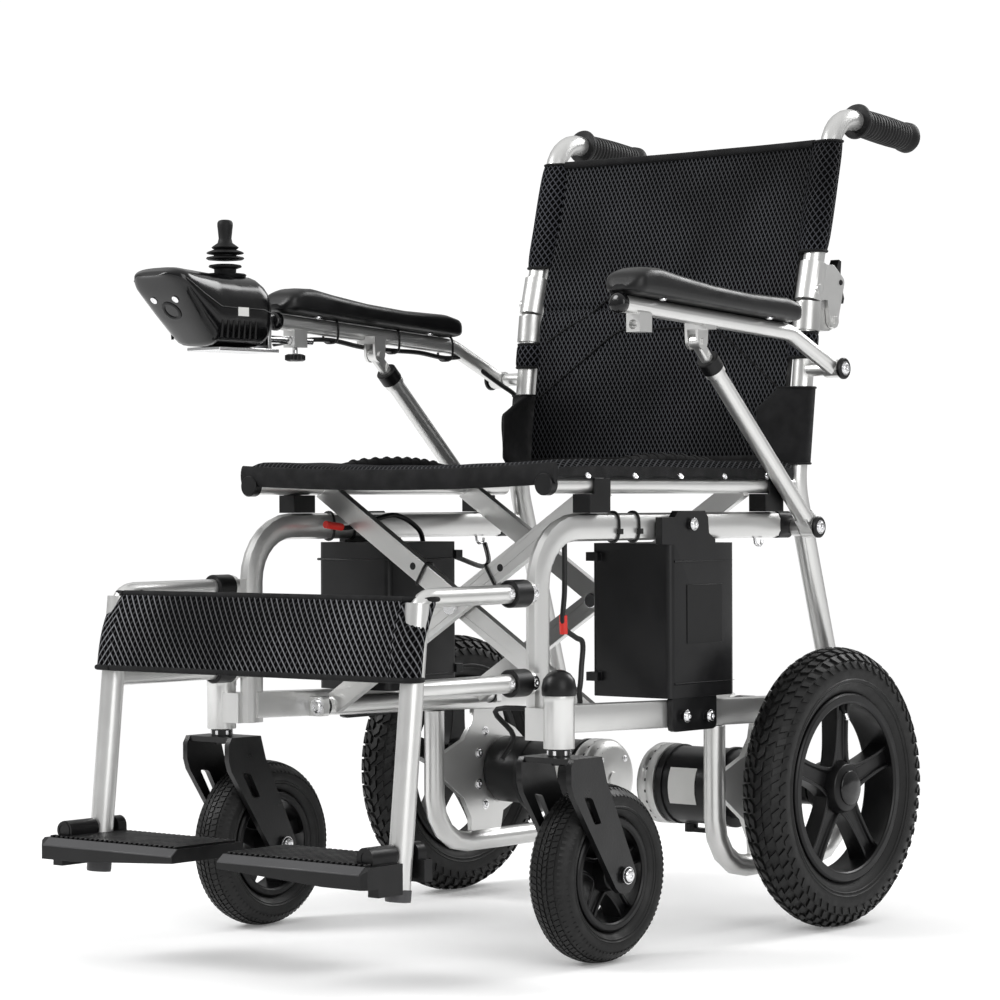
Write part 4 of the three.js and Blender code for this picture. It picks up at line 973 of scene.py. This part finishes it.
def back_panel(name, node, body, low_z, high_z, lap, seams):
    columns, rows = 48, 36
    grids = {}
    for outward in (-1, 1):
        heights = [low_z + (high_z - low_z) * i / rows for i in range(rows + 1)]
        shares = [j / columns for j in range(columns + 1)]
        grids[outward] = [[panel_face(node, share, z, outward, lap) for share in shares] for z in heights]
    shape = Shape()
    quilt(shape, grids[-1], grids[1], BACK_MESH)
    for path in seams:
        points = [panel_face(node, share_x, z, -1, lap) - Y * 0.2 * MM for share_x, z in path]
        shape.tube(curve(points, 6), 1.3 * MM, TAPE, 8)
    free_edge = grids[-1][0] if lap[0] == high_z else grids[-1][-1]
    shape.tube([point + Y * 4 * MM for point in free_edge], 5.2 * MM, TAPE, 12)
    made = piece(name, shape, body, [node], angle=70)
    bpy.context.view_layer.update()
    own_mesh(made)


def sleeve(name, sign, node, body, low_z, high_z, paint, bulge):
    """Cloth wrapped round a back tube and stretched inwards towards the panel."""
    rows = []
    steps = 16
    for i in range(steps + 1):
        share = i / steps
        z = low_z + (high_z - low_z) * share
        core = cut_centre(node, 2, z)
        tight = 1 - 0.12 * (abs(share - 0.5) * 2) ** 6
        ring = []
        for j in range(32):
            angle = 2 * math.pi * j / 32
            c, s = math.cos(angle), math.sin(angle)
            outward = 15.6 * MM if c > 0 else 15.6 * MM + bulge
            ring.append((
                sign * (abs(core.x) + c * outward * tight),
                core.y + s * (16.2 * MM + ripple(angle * 0.03, z, 0.8)) * tight,
                z,
            ))
        rows.append(ring)
    shape = Shape().skin(rows, paint, wrap=True)
    for row in (rows[0], rows[-1]):
        closed = [Vector(p) for p in row] + [Vector(row[0]), Vector(row[1])]
        shape.tube(closed, 1.7 * MM, TAPE, 8)
    piece(name, shape, body, angle=70)


def build_back():
    low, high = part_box("back_panel_lower")
    up_low, up_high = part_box("back_panel_upper")
    half = (high.x - low.x) / 2
    split = (high.z + up_low.z) / 2

    def one_side(*points):
        """A seam's left half, from (mm from the middle, metres up)."""
        return [(0.5 - x * MM / half / 2, z) for x, z in points]

    def other_side(seam):
        return [(1 - share, z) for share, z in seam]

    foot = low.z
    waist = one_side((186, foot + 77 * MM), (128, foot + 120 * MM), (71, foot + 159 * MM),
                     (30, foot + 160 * MM))
    flank = one_side((178, split - 36 * MM), (150, split - 19 * MM), (120, split - 4 * MM))
    crest = one_side((118, split - 2 * MM), (100, split + 10 * MM), (80, split + 21 * MM),
                     (40, split + 22 * MM))
    lower_seams = [waist + other_side(waist)[::-1], flank, other_side(flank)]
    upper_seams = [crest + other_side(crest)[::-1]]
    lower_top, upper_foot = split + 3 * MM, split - 4 * MM
    back_panel("back_cloth_lower", "back_panel_lower", "side_right", low.z + 1 * MM, lower_top,
               (lower_top, 1), lower_seams)
    back_panel("back_cloth_upper", "back_panel_upper", "back_right", upper_foot, up_high.z - 1 * MM,
               (upper_foot, -1), upper_seams)
    for side, sign in SIDES:
        cane, post = f"back_cane_{side}", f"rear_post_{side}"
        sleeve(f"back_sleeve_upper_{side}", sign, cane, f"back_{side}", split + 60 * MM, up_high.z + 1 * MM,
               SLEEVE_MESH, 9 * MM)
        sleeve(f"back_sleeve_lower_{side}", sign, post, f"side_{side}", split - 66 * MM, split - 37 * MM,
               SLEEVE_MESH, 6 * MM)


def build_seat():
    low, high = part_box("seat_sling")
    rail_high = section("cross_half_left_rail", 1, low.y + 20 * MM)[1]
    rail_x, rail_z = rail_high.x - 10 * MM, rail_high.z - 10 * MM
    columns, rows = 64, 48
    top, under = [], []
    for i in range(rows + 1):
        y = low.y - 4 * MM + (high.y - low.y + 6 * MM) * i / rows
        top_row, under_row = [], []
        for j in range(columns + 1):
            share = j / columns * 2 - 1
            x = share * (rail_x + 12 * MM)
            edge = min(1.0, (1 - abs(share)) / 0.07)
            drop = 7 * MM * (1 - share * share) + 9 * MM * (1 - edge) ** 2
            front = max(0.0, 1 - i / 2.5) ** 2 * 5 * MM
            height = high.z + 3 * MM - drop - front + ripple(x, y, 0.9)
            top_row.append(Vector((x, y, height)))
            under_row.append(Vector((x, y, min(height - 7 * MM, low.z - 1 * MM - drop * 0.5))))
        top.append(top_row)
        under.append(under_row)
    shape = Shape()
    quilt(shape, top, under, SEAT_MESH, NYLON)
    seat = piece("seat_cloth", shape, None, ["seat_sling"], angle=70)
    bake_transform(seat)

    hem = Shape()
    front_face = []
    for j in range(columns + 1):
        share = j / columns * 2 - 1
        x = share * (rail_x + 13 * MM)
        sag = 6 * MM * (1 - share * share)
        ring = []
        for angle in np.linspace(0, 2 * math.pi, 16, endpoint=False):
            ring.append((x, low.y - 3 * MM + 4.2 * MM * math.cos(angle),
                         rail_z + 12 * MM - sag + 11.5 * MM * math.sin(angle)))
        front_face.append(ring)
    hem.skin(front_face, TAPE, wrap=True)
    for sign in (1, -1):
        flap, back_flap = [], []
        steps = 90
        for i in range(steps + 1):
            y = low.y + (high.y - low.y) * i / steps
            scallop = 3.5 * MM * abs(math.sin(math.pi * i / 15))
            outline = [(-16, 14.5), (-4, 15), (4, 14.2), (9, 11.6), (12, 8), (13, 5)]
            flap.append([(sign * (rail_x + a * MM), y, rail_z + b * MM + (scallop if b < 6 else 0))
                         for a, b in outline])
            back_flap.append([(sign * (rail_x + (a - 1.6 if b < 13 else a) * MM), y,
                               rail_z + (b - (1.6 if b > 8 else 0)) * MM + (scallop if b < 6 else 0))
                              for a, b in outline])
        faces = ([[Vector(p) for p in row] for row in grid] for grid in (flap, back_flap))
        quilt(hem, *faces, TAPE)
        for share in (0.12, 0.31, 0.5, 0.69, 0.88):
            y = low.y + (high.y - low.y) * share
            bolt(hem, (sign * (rail_x + 11.4 * MM), y, rail_z + 10 * MM), (sign * 0.8, 0, 0.6), 3.4 * MM)
    hems = piece("seat_hems", hem, None, angle=60)
    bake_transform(hems)

    handles = Shape()
    for sign in (1, -1):
        start, end = low.y + 120 * MM, low.y + 335 * MM
        path = []
        for i in range(25):
            share = i / 24
            arch = math.sin(math.pi * share) ** 0.6
            sway = 3 * MM * math.sin(share * 9)
            path.append((sign * (rail_x - 16 * MM + sway), start + (end - start) * share,
                         rail_z + 16 * MM + 12 * MM * arch))
        handles.tube(path, 7.5 * MM, NYLON, 16, 0.8)
        for i in range(9):
            share = 0.16 + 0.68 * i / 8
            spot = Vector(path[round(share * 24)])
            handles.turned([(7.4 * MM, -2.6 * MM), (8.1 * MM, 0), (7.4 * MM, 2.6 * MM)], spot, Y, TAPE, 20)
        for y in (start - 6 * MM, end + 2 * MM):
            centre_x = sign * (rail_x - 16 * MM)
            ring = []
            for a in np.linspace(0, 2 * math.pi, 17):
                ring.append(Vector((centre_x + 8 * MM * math.cos(a), y + 3 * MM * math.sin(a * 2),
                                    rail_z + 18 * MM + 7 * MM * math.sin(a))))
            handles.tube(ring, 1.6 * MM, BRIGHT, 8)
    grips = piece("seat_handles", handles, None, angle=50)
    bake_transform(grips)


def build_calf_strap():
    node = "calf_strap"
    low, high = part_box(node)
    tube_x = abs(centre("hanger_left").x)
    columns, rows = 60, 16

    def front(x, z, lift):
        cut_low = section(node, 2, z)[0]
        pull = 1 - (x / tube_x) ** 2
        cling = 14 * MM * ((z - low.z) / (high.z - low.z)) ** 3
        return Vector((x, cut_low.y - lift + cling + 4 * MM * max(0, pull) + ripple(x, z, 0.9), z))

    heights = [low.z + 1 * MM + (high.z - low.z - 2 * MM) * i / rows for i in range(rows + 1)]
    reach = tube_x - 14 * MM
    grids = {}
    for lift in (1.5 * MM, -3 * MM):
        places = [-reach + 2 * reach * j / columns for j in range(columns + 1)]
        grids[lift] = [[front(x, z, lift) for x in places] for z in heights]
    shape = Shape()
    outer, inner = grids[1.5 * MM], grids[-3 * MM]
    quilt(shape, outer, inner, STRAP_MESH)
    for row in (outer[0], outer[-1]):
        shape.tube([point + Y * 1.5 * MM for point in row], 3.2 * MM, TAPE, 12)
    made = piece("calf_strap_middle", shape, "side_right", [node], angle=70)
    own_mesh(made)
    radius = 14.2 * MM
    for side, sign in SIDES:
        wrap = Shape()
        outside, inside = [], []
        for number, z in enumerate(heights):
            lift = (number / rows) ** 3
            front_y = front(sign * reach, z, 1.5 * MM).y
            outer_x = tube_x - 4 * MM * lift
            mid_y = front_y + radius
            path = [(reach, front_y), (reach + 6 * MM, front_y - 0.3 * MM + 3 * MM * lift)]
            for angle in np.linspace(-90, 90, 13):
                a = math.radians(angle)
                wrap_y = mid_y + 6 * MM * lift + radius * math.sin(a)
                path.append((outer_x + radius * math.cos(a) * 0.95, wrap_y))
            path.append((reach, mid_y + radius - 0.5 * MM))
            outside.append([Vector((sign * x, y, z)) for x, y in path])
            inset = []
            for x, y in path:
                shift = Vector((outer_x - x, mid_y - y, 0))
                step = shift.normalized() * min(2 * MM, shift.length)
                inset.append(Vector((sign * (x + (step.x if x > outer_x else 0)), y + step.y, z)))
            inside.append(inset)
        quilt(wrap, outside, inside, STRAP_MESH)
        for row in (outside[0], outside[-1]):
            wrap.tube(row, 2.8 * MM, TAPE, 12)
        piece(f"calf_strap_wrap_{side}", wrap, f"side_{side}", angle=70)


def build_skirts():
    """Side skirts: a sleeve round the rear post that draws out forwards into a thin wing of cloth."""
    for side, sign in SIDES:
        low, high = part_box(f"skirt_{side}")
        wing_x = centre(f"skirt_{side}").x + sign * 2 * MM
        foot, top = low.z - 5 * MM, high.z + 4 * MM
        rows, steps = [], 26
        for i in range(steps + 1):
            share = i / steps
            z = foot + (top - foot) * share
            post = cut_centre(f"rear_post_{side}", 2, z)
            tip_y = low.y + 33 * MM + 46 * MM * max(0, share - 0.72) / 0.28
            tip_y += 12 * MM * max(0, 0.12 - share) / 0.12
            tip = Vector((wing_x, tip_y, z))
            post.z = z
            reach = tip - post
            ahead = reach.normalized()
            beside = Z.cross(ahead)
            row = []
            for j in range(40):
                angle = 2 * math.pi * j / 40
                c, s = math.cos(angle), math.sin(angle)
                draw = (reach.length - 16 * MM) * max(0, c) ** 5
                thin = 16.2 * MM * s
                wave = 1.6 * ripple(tip_y * 2 + j * 0.01, z * 1.5) * max(0, c)
                row.append(post + ahead * (16 * MM * c + draw) + beside * (thin + wave))
            rows.append(row)
        shape = Shape().skin(rows, NYLON, wrap=True)
        for row in (rows[0], rows[-1]):
            shape.tube(row + row[:2], 1.4 * MM, TAPE, 8)
        made = piece(f"skirt_cloth_{side}", shape, f"side_{side}", [f"skirt_{side}"], angle=70)
        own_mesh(made)


# ---------- cables ----------
def build_cables():
    """Control and power cables, held by ties, with a red tag where each battery lead is joined."""
    bar_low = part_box("armrest_right")[0]
    path = [(bar_low.x + 8 * MM, bar_low.y + 6 * MM, 0.672), behind_upright(-252, 129, 678)]
    for y, sag in ((180, 4), (235, 7), (290, 6), (340, 4), (390, 6)):
        at = behind_upright(-250, y, 0)
        path.append((at.x, at.y, section("armrest_right", 1, at.y)[0].z - sag * MM))
    path += [behind_upright(-250, 440, 668), behind_upright(-246, 459, 650)]
    shape = Shape().tube(curve(path, 6), 2.9 * MM, CABLE, 10)
    for number in (2, 4, 6):
        at = Vector(path[number])
        bar = cut_centre("armrest_right", 1, at.y)
        middle = Vector((at.x, at.y, (bar.z + at.z) / 2 + 4 * MM))
        tall = (bar.z - at.z + 15 * MM) / 2
        shape.tube(closed_ring(middle, X * 12.2 * MM, Z * tall, 28, 0.6), 1.4 * MM, CABLE, 8)
    piece("arm_cable", shape, "arm_right")
    drop = ((-246, 459, 650), (-236, 482, 634), (-228, 499, 622), (-226, 512, 606), (-224, 514, 560),
            (-222, 508, 500))
    drop = [behind_upright(*point) for point in drop]
    hanging = Shape().tube(curve(drop, 6), 2.9 * MM, CABLE, 10)
    tail = piece("arm_cable_tail", hanging, None)
    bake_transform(tail)

    leads = {
        "left": ((197, 60, 445), (197, 60, 393), (195, 60, 356), (192, 84, 342), (190, 100, 335),
                 (190, 98, 310), (190, 94, 284), (178, 96, 262), (102, 62, 262), (106, 84, 232),
                 (109, 60, 207)),
        "right": ((-170, 88, 462), (-170, 120, 458), (-170, 162, 466), (-170, 206, 472), (-170, 247, 454),
                  (-170, 258, 427), (-170, 280, 420), (-170, 309, 422), (-170, 362, 409), (-190, 400, 415),
                  (-204, 410, 436)),
    }
    tags = {"left": ((195, 60, 366), (194, 62, 346)), "right": ((-170, 83, 462), (-170, 110, 459))}
    for side, _ in SIDES:
        lead, tag = ([behind_upright(*point) for point in run] for run in (leads[side], tags[side]))
        shape = Shape().tube(curve(lead, 6), 3 * MM, CABLE, 10)
        shape.tube(tag, 4.4 * MM, TAG, 12)
        piece(f"power_cable_{side}", shape, f"side_{side}")


# ---------- studio ----------
def area_light(name, place, target, size, power):
    data = bpy.data.lights.new(name, "AREA")
    data.size = size
    data.energy = power
    lamp = bpy.data.objects.new(name, data)
    bpy.context.scene.collection.objects.link(lamp)
    lamp.location = place
    lamp.rotation_mode = "QUATERNION"
    lamp.rotation_quaternion = (Vector(place) - Vector(target)).to_track_quat("Z", "Y")


def build_studio():
    paint = Paint("pale floor")
    far = paint.remap(paint.vector("LENGTH", paint.place), 0.9, 1.9, 0, 1, True)
    tone = paint.mix(paint.remap(paint.noise(1.2, 3), 0.3, 0.7, 0, 1), (0.88, 0.88, 0.88), (0.93, 0.93, 0.93))
    paint.set(Base_Color=paint.mix(far, tone, (0.0, 0.0, 0.0)), Roughness=0.8, Specular_IOR_Level=0.1)
    paint.set(Emission_Color=(1, 1, 1, 1), Emission_Strength=paint.remap(far, 0, 1, 0.12, 1.0))
    reach = 14
    mesh = bpy.data.meshes.new("floor")
    corners = [(-reach, -reach, 0), (reach, -reach, 0), (reach, reach, 0), (-reach, reach, 0)]
    mesh.from_pydata(corners, [], [(0, 1, 2, 3)])
    mesh.materials.append(paint.material)
    floor = bpy.data.objects.new("floor", mesh)
    bpy.context.scene.collection.objects.link(floor)

    # the background is white where it is seen and softer where it lights the chair
    world = bpy.data.worlds.new("studio")
    world.use_nodes = True
    tree = world.node_tree
    background = tree.nodes["Background"]
    background.inputs[0].default_value = (1, 1, 1, 1)
    seen = tree.nodes.new("ShaderNodeLightPath").outputs["Is Camera Ray"]
    split = tree.nodes.new("ShaderNodeSeparateXYZ")
    tree.links.new(tree.nodes.new("ShaderNodeTexCoord").outputs["Generated"], split.inputs[0])
    dome, strength = (tree.nodes.new("ShaderNodeMapRange") for _ in range(2))
    dome.inputs["To Min"].default_value = 0.28
    dome.inputs["To Max"].default_value = 0.95
    strength.inputs["To Max"].default_value = 1.05
    tree.links.new(split.outputs[2], dome.inputs["Value"])
    tree.links.new(dome.outputs[0], strength.inputs["To Min"])
    tree.links.new(seen, strength.inputs["Value"])
    tree.links.new(strength.outputs[0], background.inputs[1])
    bpy.context.scene.world = world
    middle = (0, 0, 0.5)
    area_light("key", (-2.2, -2.6, 2.8), middle, 1.6, 95)
    area_light("fill", (3.2, -1.6, 1.6), middle, 2.2, 45)
    area_light("rim", (0.8, 3.0, 2.4), middle, 1.6, 60)

    # the viewpoint: distance and height in metres from the chair's centre, and the lens that matches them
    camera_data = bpy.data.cameras.new("camera")
    camera_data.sensor_width = 36
    camera_data.lens = 114.03
    camera = bpy.data.objects.new("camera", camera_data)
    bpy.context.scene.collection.objects.link(camera)
    heading, roll = math.radians(39.42), math.radians(-0.19)
    back = Vector((math.sin(heading), -math.cos(heading), 0))
    camera.location = (2.2935, -2.8149, 0.4895)
    camera.rotation_mode = "QUATERNION"
    camera.rotation_quaternion = back.to_track_quat("Z", "Y")
    camera.rotation_quaternion @= Matrix.Rotation(roll, 3, "Z").to_quaternion()
    bpy.context.scene.camera = camera
    bpy.context.scene.view_settings.view_transform = "Standard"


UPRIGHT_Y = cut_centre("side_frame_left", 2, 0.35).y
dress_cad_nodes()
build_wheels()
build_grips()
build_arm_pads()
build_controller()
build_fittings()
build_footplates()
build_motors()
build_batteries()
build_back()
build_seat()
build_calf_strap()
build_skirts()
build_cables()
build_studio()
